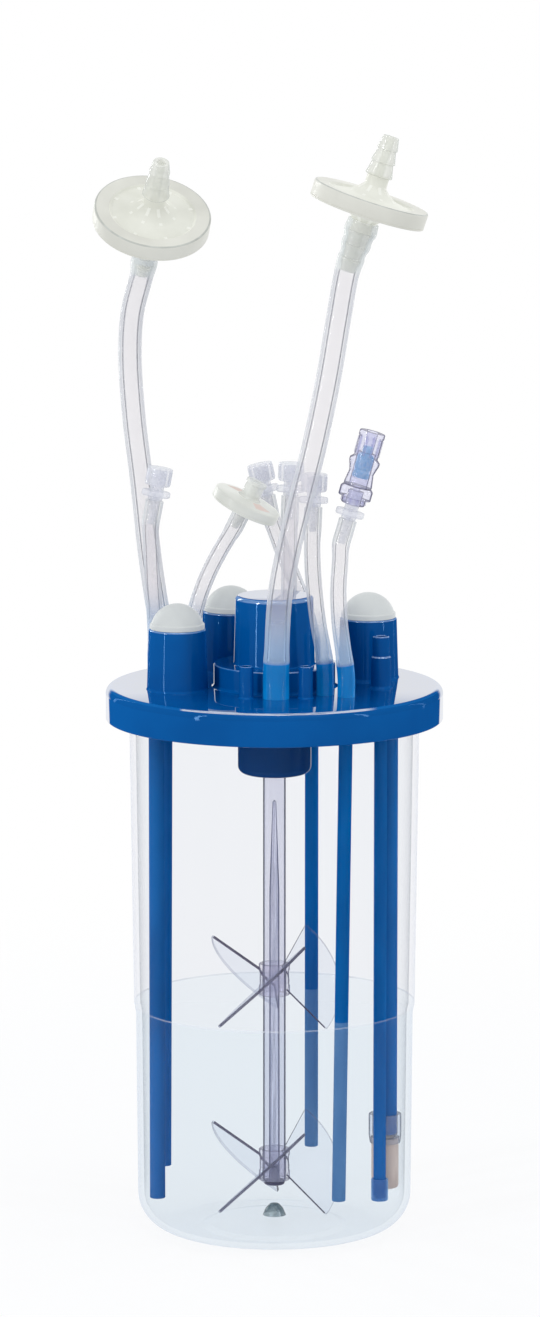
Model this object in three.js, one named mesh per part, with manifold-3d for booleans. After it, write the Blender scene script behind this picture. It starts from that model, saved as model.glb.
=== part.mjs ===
// Single-use bench bioreactor: a clear stirred cup under a moulded head plate, with a magnetically driven
// shaft and two pitched-blade impellers, dip tubes, and soft tubes to vent filters and luer fittings.
// Millimetres, +Z up. The origin is the middle of the foot on the bench; -Y is the front.

import * as THREE from 'three';
import { mergeVertices } from 'three/addons/utils/BufferGeometryUtils.js';
import Module from 'manifold-3d';

const wasm = await Module();
wasm.setup();

// ---------------------------------------------------------------- driving sizes

const seatGap = 0.3; // between pieces that seat on each other
const runningGap = 0.3; // around what turns
const sunk = 1.5; // how far a boss reaches into the body that carries it

// The cup: two drafted walls that meet at a step, a round lower corner and a foot ring.
const vessel = {
  lowerRadius: 58,
  lowerDraft: 0.7,
  stepWidth: 0.8,
  upperDraft: 1.7,
  wall: 2.6,
  cornerRadius: 15,
  stepZ: 94,
  stepHeight: 4,
  footWidth: 12,
  footLift: 1.2,
  nubRadius: 4.5,
  nubHeight: 5.2,
  height: 226.2,
  flangeWidth: 4.8,
  flangeThickness: 2.2,
};
const upperRadius = vessel.lowerRadius + vessel.lowerDraft + vessel.stepWidth;
const mouthRadius = upperRadius + vessel.upperDraft;
const flangeRadius = mouthRadius + vessel.flangeWidth;
const floorTop = vessel.footLift + vessel.wall;

const seal = { section: 2.2, inset: 2.6 };

const plate = {
  thickness: 4,
  skirtHeight: 14,
  skirtWall: 3,
  skirtGap: 2,
  edgeRadius: 2,
  locatorHeight: 7,
  locatorWall: 2.4,
  locatorDraft: 0.4,
};
const plateRadius = flangeRadius + plate.skirtGap + plate.skirtWall;
const plateUnder = vessel.height + seal.section + 2 * seatGap;
const plateTop = plateUnder + plate.thickness;
const skirtBottom = plateTop - plate.skirtHeight;

const hub = {
  topRadius: 16.5,
  baseRadius: 17.3,
  height: 38.5,
  roof: 3,
  sideWall: 2.6,
  edgeRadius: 2,
  stepWidth: 8.3,
  stepHeight: 9.7,
  stepEdge: 0.8,
};
const hubTop = plateTop + hub.height;
const hubCeiling = hubTop - hub.roof;
const hubCavityRadius = hub.topRadius - hub.sideWall;

// A place on the plate: how far it stands in from the cup's inner wall, and its bearing from +X.
function place(inset, degrees) {
  const radius = vessel.lowerRadius - vessel.wall - inset;
  const angle = THREE.MathUtils.degToRad(degrees);
  return [radius * Math.cos(angle), radius * Math.sin(angle)];
}

const tower = {
  topRadius: 12,
  baseRadius: 12.8,
  height: 25.7,
  boreRadius: 6,
  edge: 0.8,
  bossWall: 2.5,
  bossDepth: 5,
};
const towerTop = plateTop + tower.height;
const towerSites = {
  front: place(13.7, 192.5),
  back: place(12.2, 115.4),
  right: place(10.4, 27.8),
};

const portCap = {
  inset: 0.5,
  collarHeight: 2,
  collarEdge: 0.5,
  shoulder: 0.7,
  domeHeight: 8.3,
  plugLength: 12,
  plugWall: 2.1,
  ceilingRise: 0.5,
};

const shaft = {
  radius: 4.8,
  footReveal: 0.4,
  collarRise: 1.8,
  collarHeight: 2.4,
  journalRadius: 3,
  journalEdge: 0.5,
  coreRadius: 2.3,
  coreTipRadius: 0.8,
  coreStraight: 132,
  coreTaper: 38,
};

const housing = {
  radius: 15.5,
  wall: 2.6,
  floor: 3.4,
  depth: 33.5,
  edgeRadius: 3,
  flangeWidth: 2.9,
  flangeThickness: 2.6,
  boreRelief: 0.2,
};
const housingTop = plateUnder - seatGap;
const housingBottom = plateUnder - housing.depth;

const lowerBearing = { width: 3, height: 5 };
const upperBearing = { width: 3, height: 4, bossWall: 2 };

const rotor = { sideGap: 1.3, height: 21, sleeveWall: 2.5, topGap: 3.2, edge: 0.8 };
const magnet = { radius: 3, height: 7, count: 4 };

const impeller = {
  hubWall: 1.5,
  hubHeight: 13.5,
  bladeCount: 3,
  bladeThickness: 1.2,
  bladeReach: 28,
  bladePitch: 44,
  bladeBearing: 13,
  rootHalfWidth: 6,
  rootReach: 6,
  tipReach: 18,
  tipHalfWidth: 26.8,
  tipRound: 2.2,
  floorClearance: 3.8,
  spacing: 80.5,
};
const bladeDrop = impeller.tipHalfWidth * Math.sin(THREE.MathUtils.degToRad(impeller.bladePitch));
const lowerImpellerZ = floorTop + impeller.floorClearance + bladeDrop;
const impellerHeights = { lower_impeller: lowerImpellerZ, upper_impeller: lowerImpellerZ + impeller.spacing };
const shaftBottom = lowerImpellerZ - impeller.hubHeight / 2 - shaft.footReveal;

const endPlug = { headRadius: 4.4, headHeight: 1.3, headEdge: 0.6, stemLength: 7 };

// Hose barbs: lead is the height of the first shoulder, taper how much slimmer the tip ends.
const largeBarb = { root: 3.8, lip: 4.4, height: 15.9, lead: 4, taper: 0.5, barbs: 2, bore: 2.2 };
const smallBarb = { root: 2.1, lip: 2.5, height: 14, lead: 3.5, taper: 0.5, barbs: 1, bore: 1.2 };
const dipBoss = { wall: 1.2, height: 6.5, floor: 1 };

// Ports with a soft tube on a barb.
const barbSites = {
  vent_left: { at: place(6, 159.6), barb: largeBarb },
  vent_right: { at: place(23.4, -88.8), barb: largeBarb },
  left: { at: place(5.2, 173.1), barb: smallBarb },
  sterile: { at: place(17.7, 158.2), barb: smallBarb },
  back_left: { at: place(14.2, 67.2), barb: smallBarb },
  back: { at: place(23.2, 79.3), barb: smallBarb },
  middle: { at: place(24.1, -47.2), barb: smallBarb },
  valve: { at: place(14.4, -43.1), barb: smallBarb },
};

const gasPort = {
  at: place(10.3, -7.1),
  lowerRadius: 4.2,
  lowerHeight: 13,
  step: 0.6,
  upperHeight: 8.9,
  edge: 0.5,
  bore: 1.9,
};
const sparePost = {
  radius: 2.95,
  height: 13.5,
  bore: 2.05,
  floor: 1.5,
  sites: [place(21.6, -110.3), place(21.1, -67.7)],
};

// Stiff tubes that hang from sockets under the plate: end is the height of the open end, and lean is how far
// it stands out of plumb, to +X.
const dipTubes = {
  dip_tube_front_left: { at: barbSites.left.at, radius: 3.3, wall: 0.9, end: 10 },
  dip_tube_left: { at: barbSites.vent_left.at, radius: 3.2, wall: 0.9, end: 21.5, lean: -1 },
  dip_tube_back: { at: barbSites.back_left.at, radius: 2.9, wall: 0.9, end: 25 },
  dip_tube_front: { at: barbSites.valve.at, radius: 2.9, wall: 0.9, end: 17, lean: -2.8 },
  sparger_tube: { at: gasPort.at, radius: 2.65, wall: 0.8, end: 13.2 },
};
const spargerTip = { wall: 0.7, height: 9.4, floor: 1.2, holeRadius: 0.8, edge: 0.5 };

const probe = {
  at: place(8, 5.6),
  sleeveRadius: 5.1,
  sleeveWall: 1,
  spigotLength: 6.5,
  sleeveEnd: 38.6,
  collarDrop: 4,
  collarHeight: 12.6,
  collarWall: 0.9,
  collarFoot: 0.4,
  collarTaper: 3.4,
  collarEdge: 0.5,
  shelf: 1.3,
  tipRadius: 5.8,
  tipLength: 21.7,
  tipEdge: 1,
};

const hoseSides = 8;
const hoseWall = 0.45; // over the lip of a barb
const ventHose = { left: 4.8, right: 5.2 };
const sampleHose = 3.4;

const luer = {
  barb: { root: 1.9, lip: 2.25, height: 10.5, lead: 2.6, taper: 0.5, barbs: 1, bore: 0.9 },
  shoulderRadius: 3.1,
  shoulderHeight: 1.5,
  flangeThickness: 2.5,
  flangeWidth: 12,
  flangeDepth: 7.4,
  neckRadius: 2.95,
  neckHeight: 8.2,
  socketRadius: 2.1,
  socketDepth: 7.5,
};
const luerFlangeTop = luer.shoulderHeight + luer.flangeThickness;
const luerTop = luerFlangeTop + luer.neckHeight;
const luerCap = { reveal: 2.3, wall: 2.25, roof: 1.3, edge: 0.7, nibRadius: 1.5, nibLength: 3.5 };

// Needle-free valve: a base over the luer neck, and a body with a sprung bung in its chamber.
const valve = {
  reveal: 2.6,
  stubRadius: 5,
  stubHeight: 2.8,
  collarRadius: 6.95,
  collarHeight: 4.9,
  edge: 0.5,
  footRadius: 6.1,
  waistRadius: 5.2,
  waistRise: 5.9,
  shoulderRadius: 6.45,
  shoulderRise: 4.1,
  shoulderHeight: 2.4,
  neckRadius: 5.1,
  neckHeight: 11,
  lipRise: 0.35,
  lipHeight: 2.6,
  chamberRadius: 3.9,
  chamberHeight: 14.4,
  mouthRadius: 2.35,
};
const bung = { travel: 3, floorGap: 0.6, shoulder: 1.5, neckRise: 2.6 };

// Disc filter of the vent tubes. Each step of its nozzle has a lip and narrows again behind it.
const largeFilter = {
  radius: 24.5,
  halfThickness: 3.55,
  edge: 0.8,
  rimWidth: 4.3,
  dishWall: 1,
  dishZ: 2.2,
  coneRadius: 10,
  coneZ: 3.8,
  peakZ: 5.8,
  clampWidth: 3.2,
  chamberInset: 2.7,
  chamberDepth: 1.3,
  ribs: 8,
  ribWidth: 0.9,
  ribRise: 0.6,
  ribRoot: 9.6,
  bore: 1.8,
  nozzle: {
    root: 3,
    neck: 4.65,
    steps: [
      { z: 12.1, lip: 5.8, behind: 4.3 },
      { z: 18.3, lip: 4.8, behind: 3.3 },
      { z: 24.4, lip: 4, behind: 3.15 },
    ],
    tip: 30.1,
  },
};
const cuff = { lap: 2.4, wall: 1.4, mouthWall: 0.9 }; // where a vent tube stretches over that nozzle

const smallFilter = {
  radius: 14.8,
  halfThickness: 2.3,
  edge: 0.9,
  coneRadius: 6,
  coneZ: 3.2,
  inletRadius: 3.9,
  inletRise: 4,
  inletHeight: 3.8,
  inletFlange: 0.6,
  inletFlangeHeight: 1.6,
  inletBore: 2.05,
  clampWidth: 2,
  chamberInset: 1.6,
  chamberDepth: 0.9,
  barb: { root: 1.9, lip: 2.25, height: 8, lead: 2, taper: 0.5, barbs: 1, bore: 0.9 },
};
const membraneThickness = 0.3;

const mergeTolerance = 1e-4;
const throughCut = 1; // how far a cutter runs past the face that it opens
const fine = 30;
const medium = 14;
const coarse = 10;
const small = 6;
const hoseStep = 5; // tube radii to one step of its sweep

// ---------------------------------------------------------------- solids

function signedVolume(positions, triangles) {
  const a = new THREE.Vector3();
  const b = new THREE.Vector3();
  const c = new THREE.Vector3();
  let sum = 0;
  for (let i = 0; i < triangles.length; i += 3) {
    a.fromArray(positions, 3 * triangles[i]);
    b.fromArray(positions, 3 * triangles[i + 1]);
    c.fromArray(positions, 3 * triangles[i + 2]);
    sum += a.dot(b.cross(c)) / 6;
  }
  return sum;
}

// A closed geometry as a manifold solid, with its faces turned outwards.
function solid(geometry, matrix = new THREE.Matrix4()) {
  const plain = geometry.clone().applyMatrix4(matrix);
  plain.deleteAttribute('normal');
  plain.deleteAttribute('uv');
  const merged = mergeVertices(plain, mergeTolerance);
  const positions = new Float32Array(merged.attributes.position.array);
  const kept = [];
  const index = merged.index.array;
  for (let i = 0; i < index.length; i += 3) {
    const [a, b, c] = [index[i], index[i + 1], index[i + 2]];
    if (a !== b && b !== c && c !== a) kept.push(a, b, c);
  }
  if (signedVolume(positions, kept) < 0) {
    for (let i = 0; i < kept.length; i += 3) [kept[i], kept[i + 1]] = [kept[i + 1], kept[i]];
  }
  return new wasm.Manifold(
    new wasm.Mesh({ numProp: 3, vertProperties: positions, triVerts: new Uint32Array(kept) }),
  );
}

function toGeometry(body) {
  const mesh = body.getMesh();
  const geometry = new THREE.BufferGeometry();
  geometry.setAttribute('position', new THREE.BufferAttribute(new Float32Array(mesh.vertProperties), 3));
  geometry.setIndex(new THREE.BufferAttribute(new Uint32Array(mesh.triVerts), 1));
  geometry.computeVertexNormals();
  return geometry;
}

// A [radius, height] outline turned about +Z.
function revolve(profile, segments) {
  const points = profile.map(([r, z]) => new THREE.Vector2(r, z));
  return new THREE.LatheGeometry(points, segments).rotateX(Math.PI / 2);
}

// The same for an outline that doesn't reach the axis: it closes on itself.
function revolveRing(profile, segments) {
  return revolve([...profile, profile[0]], segments);
}

function cylinder(radius, bottom, top, segments, x = 0, y = 0) {
  return solid(revolve([[0, bottom], [radius, bottom], [radius, top], [0, top]], segments), shift(x, y, 0));
}

function shift(x, y, z) {
  return new THREE.Matrix4().makeTranslation(x, y, z);
}

function flip() {
  return new THREE.Matrix4().makeRotationX(Math.PI);
}

// Points of a round corner, angles in degrees from the outward direction.
function arc(r, z, radius, from, to, steps) {
  return Array.from({ length: steps + 1 }, (_, i) => {
    const angle = THREE.MathUtils.degToRad(from + ((to - from) * i) / steps);
    return [r + radius * Math.cos(angle), z + radius * Math.sin(angle)];
  });
}

// Turns +Z to the given axis, with the local origin at a point.
function pose(origin, axis) {
  const turn = new THREE.Quaternion().setFromUnitVectors(
    new THREE.Vector3(0, 0, 1),
    new THREE.Vector3(...axis).normalize(),
  );
  return new THREE.Matrix4().compose(new THREE.Vector3(...origin), turn, new THREE.Vector3(1, 1, 1));
}

// Outline of a hose barb from its root at z = 0 to its tip, with a foot below the root; grow widens it
// into a socket.
function barbProfile({ root, lip, height, lead, taper, barbs }, grow = 0, foot = sunk / 2) {
  const pitch = (height - lead) / barbs;
  const points = [[0, -foot], [root + grow, -foot]];
  for (let i = 0; i < barbs; i += 1) {
    const z = lead + i * pitch - grow;
    points.push([root + grow, z], [lip + grow, z]);
  }
  points.push([root + grow - taper, height + grow], [0, height + grow]);
  return points;
}

// ---------------------------------------------------------------- vessel and head plate

function vesselGeometry() {
  const { lowerRadius, lowerDraft, wall, cornerRadius, stepZ, stepHeight, nubRadius, nubHeight } = vessel;
  const footOuter = lowerRadius - cornerRadius;
  const footInner = footOuter - vessel.footWidth;
  const raised = footInner - 3 * vessel.footLift;
  const stepLow = stepZ - stepHeight / 2;
  const stepHigh = stepZ + stepHeight / 2;
  const flangeLow = vessel.height - vessel.flangeThickness;
  const profile = [
    [0, vessel.footLift],
    [raised, vessel.footLift],
    [footInner, 0],
    ...arc(footOuter, cornerRadius, cornerRadius, -90, 0, 4),
    [lowerRadius + lowerDraft, stepLow],
    [upperRadius, stepHigh],
    [mouthRadius, flangeLow],
    [flangeRadius, flangeLow],
    [flangeRadius, vessel.height],
    [mouthRadius - wall, vessel.height],
    [upperRadius - wall, stepHigh],
    [lowerRadius + lowerDraft - wall, stepLow],
    ...arc(footOuter, cornerRadius, cornerRadius - wall, 0, -90, 3),
    [footInner, wall],
    [raised, floorTop],
    [nubRadius, floorTop],
    [nubRadius, floorTop + nubHeight / 2],
    [nubRadius / 2, floorTop + nubHeight],
    [0, floorTop + nubHeight],
  ];
  return toGeometry(solid(revolve(profile, fine)));
}

function sealGeometry() {
  const bottom = vessel.height + seatGap;
  const top = bottom + seal.section;
  const outer = flangeRadius - seal.inset;
  const inner = outer - seal.section;
  const section = [[inner, bottom], [outer, bottom], [outer, top], [inner, top]];
  return toGeometry(solid(revolveRing(section, fine)));
}

// The disc, skirt and locating ring, with the hub over the drive magnets.
function plateBody() {
  const { skirtWall, edgeRadius, locatorHeight, locatorWall, locatorDraft } = plate;
  const locatorOuter = mouthRadius - vessel.wall - seatGap;
  const locatorBottom = plateUnder - locatorHeight;
  const bearingBore = shaft.journalRadius + runningGap + upperBearing.width + seatGap;
  const bossBottom = hubCeiling - upperBearing.height - seatGap;
  const bossRadius = bearingBore + upperBearing.bossWall;
  const stepRadius = hub.baseRadius + hub.stepWidth;
  const stepTop = plateTop + hub.stepHeight;
  return solid(revolve([
    [0, hubCeiling],
    [bearingBore, hubCeiling],
    [bearingBore, bossBottom],
    [bossRadius, bossBottom],
    [bossRadius, hubCeiling],
    [hubCavityRadius, hubCeiling],
    [hubCavityRadius, plateUnder],
    [locatorOuter - locatorWall, plateUnder],
    [locatorOuter - locatorWall, locatorBottom],
    [locatorOuter - locatorDraft, locatorBottom],
    [locatorOuter, plateUnder],
    [plateRadius - skirtWall, plateUnder],
    [plateRadius - skirtWall, skirtBottom],
    [plateRadius, skirtBottom],
    ...arc(plateRadius - edgeRadius, plateTop - edgeRadius, edgeRadius, 0, 90, 3),
    [stepRadius + hub.stepEdge, plateTop],
    [stepRadius, plateTop + hub.stepEdge],
    [stepRadius, stepTop - hub.stepEdge],
    [stepRadius - hub.stepEdge, stepTop],
    [hub.baseRadius, stepTop],
    ...arc(hub.topRadius - hub.edgeRadius, hubTop - hub.edgeRadius, hub.edgeRadius, 0, 90, 3),
    [0, hubTop],
  ], fine));
}

function towerBody([x, y]) {
  const { topRadius, baseRadius, edge } = tower;
  const profile = [
    [0, plateTop - sunk],
    [baseRadius, plateTop - sunk],
    [baseRadius, plateTop],
    [topRadius, towerTop - edge],
    [topRadius - edge, towerTop],
    [0, towerTop],
  ];
  const bossRadius = tower.boreRadius + tower.bossWall;
  const boss = cylinder(bossRadius, plateUnder - tower.bossDepth, plateUnder + sunk, coarse, x, y);
  return solid(revolve(profile, medium), shift(x, y, 0)).add(boss);
}

function gasPortBody() {
  const { at, lowerRadius, lowerHeight, step, upperHeight, edge } = gasPort;
  const ledge = plateTop + lowerHeight;
  const top = ledge + upperHeight;
  const upper = lowerRadius - step;
  const profile = [
    [0, plateTop - sunk],
    [lowerRadius, plateTop - sunk],
    [lowerRadius, ledge],
    [upper, ledge + step],
    [upper, top - edge],
    [upper - edge, top],
    [0, top],
  ];
  return solid(revolve(profile, coarse), shift(...at, 0));
}

function headPlateGeometry() {
  const deep = skirtBottom - throughCut;
  let body = plateBody().add(gasPortBody());
  const cuts = [];
  for (const site of Object.values(towerSites)) {
    body = body.add(towerBody(site));
    cuts.push(cylinder(tower.boreRadius, deep, towerTop + throughCut, medium, ...site));
  }
  for (const { at, barb } of Object.values(barbSites)) {
    body = body.add(solid(revolve(barbProfile(barb), small), shift(...at, plateTop)));
    cuts.push(cylinder(barb.bore, deep, plateTop + barb.height + throughCut, small, ...at));
  }
  const gasTop = plateTop + gasPort.lowerHeight + gasPort.upperHeight;
  cuts.push(cylinder(gasPort.bore, deep, gasTop + throughCut, small, ...gasPort.at));
  for (const site of sparePost.sites) {
    const top = plateTop + sparePost.height;
    body = body.add(cylinder(sparePost.radius, plateTop - sunk, top, small, ...site));
    cuts.push(cylinder(sparePost.bore, plateTop + sparePost.floor, top + throughCut, small, ...site));
  }
  for (const { at, radius } of Object.values(dipTubes)) {
    const low = plateUnder - dipBoss.height;
    const socket = radius + seatGap;
    body = body.add(cylinder(socket + dipBoss.wall, low, plateUnder + sunk, coarse, ...at));
    cuts.push(cylinder(socket, low - throughCut, plateUnder - dipBoss.floor, coarse, ...at));
  }
  const spigotRadius = probe.sleeveRadius - probe.sleeveWall - seatGap;
  const spigotEnd = plateUnder - probe.spigotLength;
  body = body.add(cylinder(spigotRadius, spigotEnd, plateUnder + sunk, coarse, ...probe.at));
  return toGeometry(cuts.reduce((carved, cut) => carved.subtract(cut), body));
}

// Hollow plug, collar and domed top.
function portCapGeometry() {
  const { collarHeight, collarEdge, domeHeight, plugLength } = portCap;
  const plugRadius = tower.boreRadius - seatGap;
  const plugBore = plugRadius - portCap.plugWall;
  const collarRadius = tower.topRadius - portCap.inset;
  const domeRadius = collarRadius - portCap.shoulder;
  const sphere = (domeRadius ** 2 + domeHeight ** 2) / (2 * domeHeight);
  const start = THREE.MathUtils.radToDeg(Math.asin((sphere - domeHeight) / sphere));
  const dome = arc(0, collarHeight + domeHeight - sphere, sphere, start, 90, 4);
  const profile = [
    [0, portCap.ceilingRise],
    [plugBore, 0],
    [plugBore, -plugLength],
    [plugRadius, -plugLength],
    [plugRadius, 0],
    [collarRadius, 0],
    [collarRadius, collarHeight - collarEdge],
    [collarRadius - collarEdge, collarHeight],
    ...dome.slice(0, -1),
    [0, collarHeight + domeHeight],
  ];
  return toGeometry(solid(revolve(profile, medium)));
}

// ---------------------------------------------------------------- drive

const shaftBore = shaft.radius + runningGap + housing.boreRelief;
const lowerBearingBottom = housingBottom + housing.floor + seatGap;
const collarBottom = lowerBearingBottom + lowerBearing.height + runningGap;
const sleeveBottom = collarBottom + shaft.collarHeight + seatGap;
const upperBearingBottom = hubCeiling - seatGap - upperBearing.height;
const journalBottom = upperBearingBottom - runningGap;
const journalTop = upperBearingBottom + upperBearing.height - shaft.journalEdge;
const rotorBore = shaft.radius + seatGap;
const rotorRadius = hubCavityRadius - rotor.sideGap;
const rotorTop = hubCeiling - upperBearing.height - rotor.topGap;
const rotorBottom = rotorTop - rotor.height;

function housingGeometry() {
  const { radius, wall, floor, edgeRadius, flangeWidth, flangeThickness } = housing;
  const seat = shaft.radius + runningGap + lowerBearing.width + seatGap;
  const floorZ = housingBottom + floor;
  const profile = [
    [shaftBore, housingBottom],
    ...arc(radius - edgeRadius, housingBottom + edgeRadius, edgeRadius, -90, 0, 3),
    [radius, housingTop - flangeThickness],
    [radius + flangeWidth, housingTop - flangeThickness],
    [radius + flangeWidth, housingTop],
    [radius - wall, housingTop],
    [radius - wall, floorZ + lowerBearing.height],
    [seat, floorZ + lowerBearing.height],
    [seat, floorZ],
    [shaftBore, floorZ],
  ];
  return toGeometry(solid(revolveRing(profile, medium)));
}

function bearingGeometry(journal, { width, height }, bottom) {
  const inner = journal + runningGap;
  const outer = inner + width;
  const top = bottom + height;
  const section = [[inner, bottom], [outer, bottom], [outer, top], [inner, top]];
  return toGeometry(solid(revolveRing(section, medium)));
}

// Clear moulded shaft with a blind tapered core, a thrust collar and a slim top journal.
function shaftGeometry() {
  const { radius, collarRise, collarHeight, journalRadius, journalEdge } = shaft;
  const outside = solid(revolve([
    [0, shaftBottom],
    [radius, shaftBottom],
    [radius, collarBottom],
    [radius + collarRise, collarBottom],
    [radius + collarRise, collarBottom + collarHeight],
    [radius, collarBottom + collarHeight],
    [radius, journalBottom],
    [journalRadius, journalBottom],
    [journalRadius, journalTop - journalEdge],
    [journalRadius - journalEdge, journalTop],
    [0, journalTop],
  ], coarse));
  return toGeometry(outside.subtract(shaftCore()));
}

function shaftCore() {
  const { coreRadius, coreTipRadius, coreStraight, coreTaper } = shaft;
  const taperEnd = shaftBottom + coreStraight + coreTaper;
  return solid(revolve([
    [0, shaftBottom - throughCut],
    [coreRadius, shaftBottom - throughCut],
    [coreRadius, shaftBottom + coreStraight],
    [coreTipRadius, taperEnd],
    [0, taperEnd + coreTipRadius],
  ], small));
}

function endPlugGeometry() {
  const { headRadius, headHeight, headEdge, stemLength } = endPlug;
  const stemRadius = (shaft.coreRadius - seatGap) * Math.cos(Math.PI / small);
  const top = shaftBottom - seatGap;
  return toGeometry(solid(revolve([
    [0, top - headHeight],
    [headRadius - headEdge, top - headHeight],
    [headRadius, top - headHeight + headEdge],
    [headRadius, top],
    [stemRadius, top],
    [stemRadius, top + stemLength],
    [0, top + stemLength],
  ], coarse)));
}

// Carrier of the drive magnets: a disc with a pocket for each, on a sleeve down to the shaft's collar.
function rotorGeometry() {
  const sleeveRadius = rotorBore + rotor.sleeveWall;
  const profile = [
    [rotorBore, sleeveBottom],
    [sleeveRadius, sleeveBottom],
    [sleeveRadius, rotorBottom],
    [rotorRadius - rotor.edge, rotorBottom],
    [rotorRadius, rotorBottom + rotor.edge],
    [rotorRadius, rotorTop],
    [rotorBore, rotorTop],
  ];
  const pocketRadius = magnet.radius + seatGap;
  const pocketFloor = rotorTop - magnet.height - seatGap;
  const pocketTop = rotorTop + throughCut;
  let body = solid(revolveRing(profile, medium));
  for (const site of magnetSites()) {
    body = body.subtract(cylinder(pocketRadius, pocketFloor, pocketTop, coarse, ...site));
  }
  return toGeometry(body);
}

function magnetSites() {
  const pitchRadius = (rotorBore + rotorRadius) / 2;
  return Array.from({ length: magnet.count }, (_, i) => {
    const angle = (2 * Math.PI * (i + 0.5)) / magnet.count;
    return [pitchRadius * Math.cos(angle), pitchRadius * Math.sin(angle)];
  });
}

function magnetGeometry() {
  return toGeometry(cylinder(magnet.radius, 0, magnet.height, coarse));
}

// Outline of one blade: x runs out along the radius, y along the pitched chord. The tip's outer edge is an
// arc, and its two corners are rounded.
function bladeShape() {
  const { rootHalfWidth, rootReach, tipReach, tipHalfWidth, tipRound, bladeReach } = impeller;
  const outer = new THREE.Vector2(tipReach + tipRound / 2, tipHalfWidth - tipRound / 2);
  const sagitta = bladeReach - outer.x;
  const radius = (outer.y ** 2 + sagitta ** 2) / (2 * sagitta);
  const half = Math.asin(outer.y / radius);
  const slope = new THREE.Vector2(tipReach - rootReach, tipHalfWidth - rootHalfWidth).normalize();
  const inner = new THREE.Vector2(tipReach - tipRound * slope.x, tipHalfWidth - tipRound * slope.y);
  const shape = new THREE.Shape();
  shape.moveTo(0, -rootHalfWidth);
  shape.lineTo(rootReach, -rootHalfWidth);
  shape.lineTo(inner.x, -inner.y);
  shape.quadraticCurveTo(tipReach, -tipHalfWidth, outer.x, -outer.y);
  shape.absarc(bladeReach - radius, 0, radius, -half, half, false);
  shape.quadraticCurveTo(tipReach, tipHalfWidth, inner.x, inner.y);
  shape.lineTo(rootReach, rootHalfWidth);
  shape.lineTo(0, rootHalfWidth);
  return shape;
}

// Three pitched blades on a hub that slides over the shaft.
function impellerGeometry() {
  const { hubWall, hubHeight, bladeCount, bladeThickness, bladeReach, bladePitch, bladeBearing } = impeller;
  const bore = shaft.radius + seatGap;
  const half = hubHeight / 2;
  const blade = new THREE.ExtrudeGeometry(bladeShape(), {
    depth: bladeThickness,
    bevelEnabled: false,
    curveSegments: 5,
  }).translate(0, 0, -bladeThickness / 2);
  const pitch = new THREE.Matrix4().makeRotationX(THREE.MathUtils.degToRad(bladePitch));
  let body = cylinder(bore + hubWall, -half, half, coarse);
  for (let i = 0; i < bladeCount; i += 1) {
    const turn = THREE.MathUtils.degToRad(bladeBearing + (360 * i) / bladeCount);
    body = body.add(solid(blade, new THREE.Matrix4().makeRotationZ(turn).multiply(pitch)));
  }
  return toGeometry(body.subtract(cylinder(bore, -half - bladeReach, half + bladeReach, coarse)));
}

// ---------------------------------------------------------------- dip tubes and probe

function dipTubeGeometry({ radius, wall, end, lean = 0 }) {
  const top = plateUnder - dipBoss.floor - seatGap;
  const profile = [[radius - wall, end], [radius, end], [radius, top], [radius - wall, top]];
  const slope = lean / (top - end);
  const leaning = new THREE.Matrix4().makeShear(0, 0, 0, 0, -slope, 0).setPosition(slope * top, 0, 0);
  return toGeometry(solid(revolveRing(profile, coarse), leaning));
}

// Cup under the end of the gas tube, with one outlet hole.
function spargerTipGeometry() {
  const { radius, end } = dipTubes.sparger_tube;
  const { wall, height, floor, holeRadius, edge } = spargerTip;
  const inner = radius + seatGap;
  const outer = inner + wall;
  const bottom = end - seatGap - floor;
  return toGeometry(solid(revolveRing([
    [holeRadius, bottom],
    [outer - edge, bottom],
    [outer, bottom + edge],
    [outer, bottom + height],
    [inner, bottom + height],
    [inner, bottom + floor],
    [holeRadius, bottom + floor],
  ], coarse)));
}

const shelfTop = probe.sleeveEnd - seatGap;
const tipTop = shelfTop - probe.shelf - seatGap;
const shelfBore = probe.sleeveRadius - probe.sleeveWall;

function probeSleeveGeometry() {
  const { sleeveRadius, sleeveEnd } = probe;
  const top = plateUnder - seatGap;
  const profile = [[shelfBore, sleeveEnd], [sleeveRadius, sleeveEnd], [sleeveRadius, top], [shelfBore, top]];
  return toGeometry(solid(revolveRing(profile, coarse)));
}

function probeCollarGeometry() {
  const { sleeveRadius, sleeveEnd, collarDrop, collarHeight, collarFoot, collarTaper, collarEdge } = probe;
  const upperBore = sleeveRadius + seatGap;
  const lowerBore = probe.tipRadius + seatGap;
  const outer = lowerBore + probe.collarWall;
  const bottom = sleeveEnd - collarDrop;
  const top = bottom + collarHeight;
  const shelfBottom = shelfTop - probe.shelf;
  return toGeometry(solid(revolveRing([
    [lowerBore, bottom],
    [lowerBore + collarFoot, bottom],
    [outer, bottom + collarTaper],
    [outer, top - collarEdge],
    [outer - collarEdge, top],
    [upperBore, top],
    [upperBore, shelfTop],
    [shelfBore, shelfTop],
    [shelfBore, shelfBottom],
    [lowerBore, shelfBottom],
  ], coarse)));
}

function probeTipGeometry() {
  const { tipRadius, tipLength, tipEdge } = probe;
  const bottom = tipTop - tipLength;
  return toGeometry(solid(revolve([
    [0, bottom],
    [tipRadius - tipEdge, bottom],
    [tipRadius, bottom + tipEdge],
    [tipRadius, tipTop],
    [0, tipTop],
  ], coarse)));
}

// ---------------------------------------------------------------- filters

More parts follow.
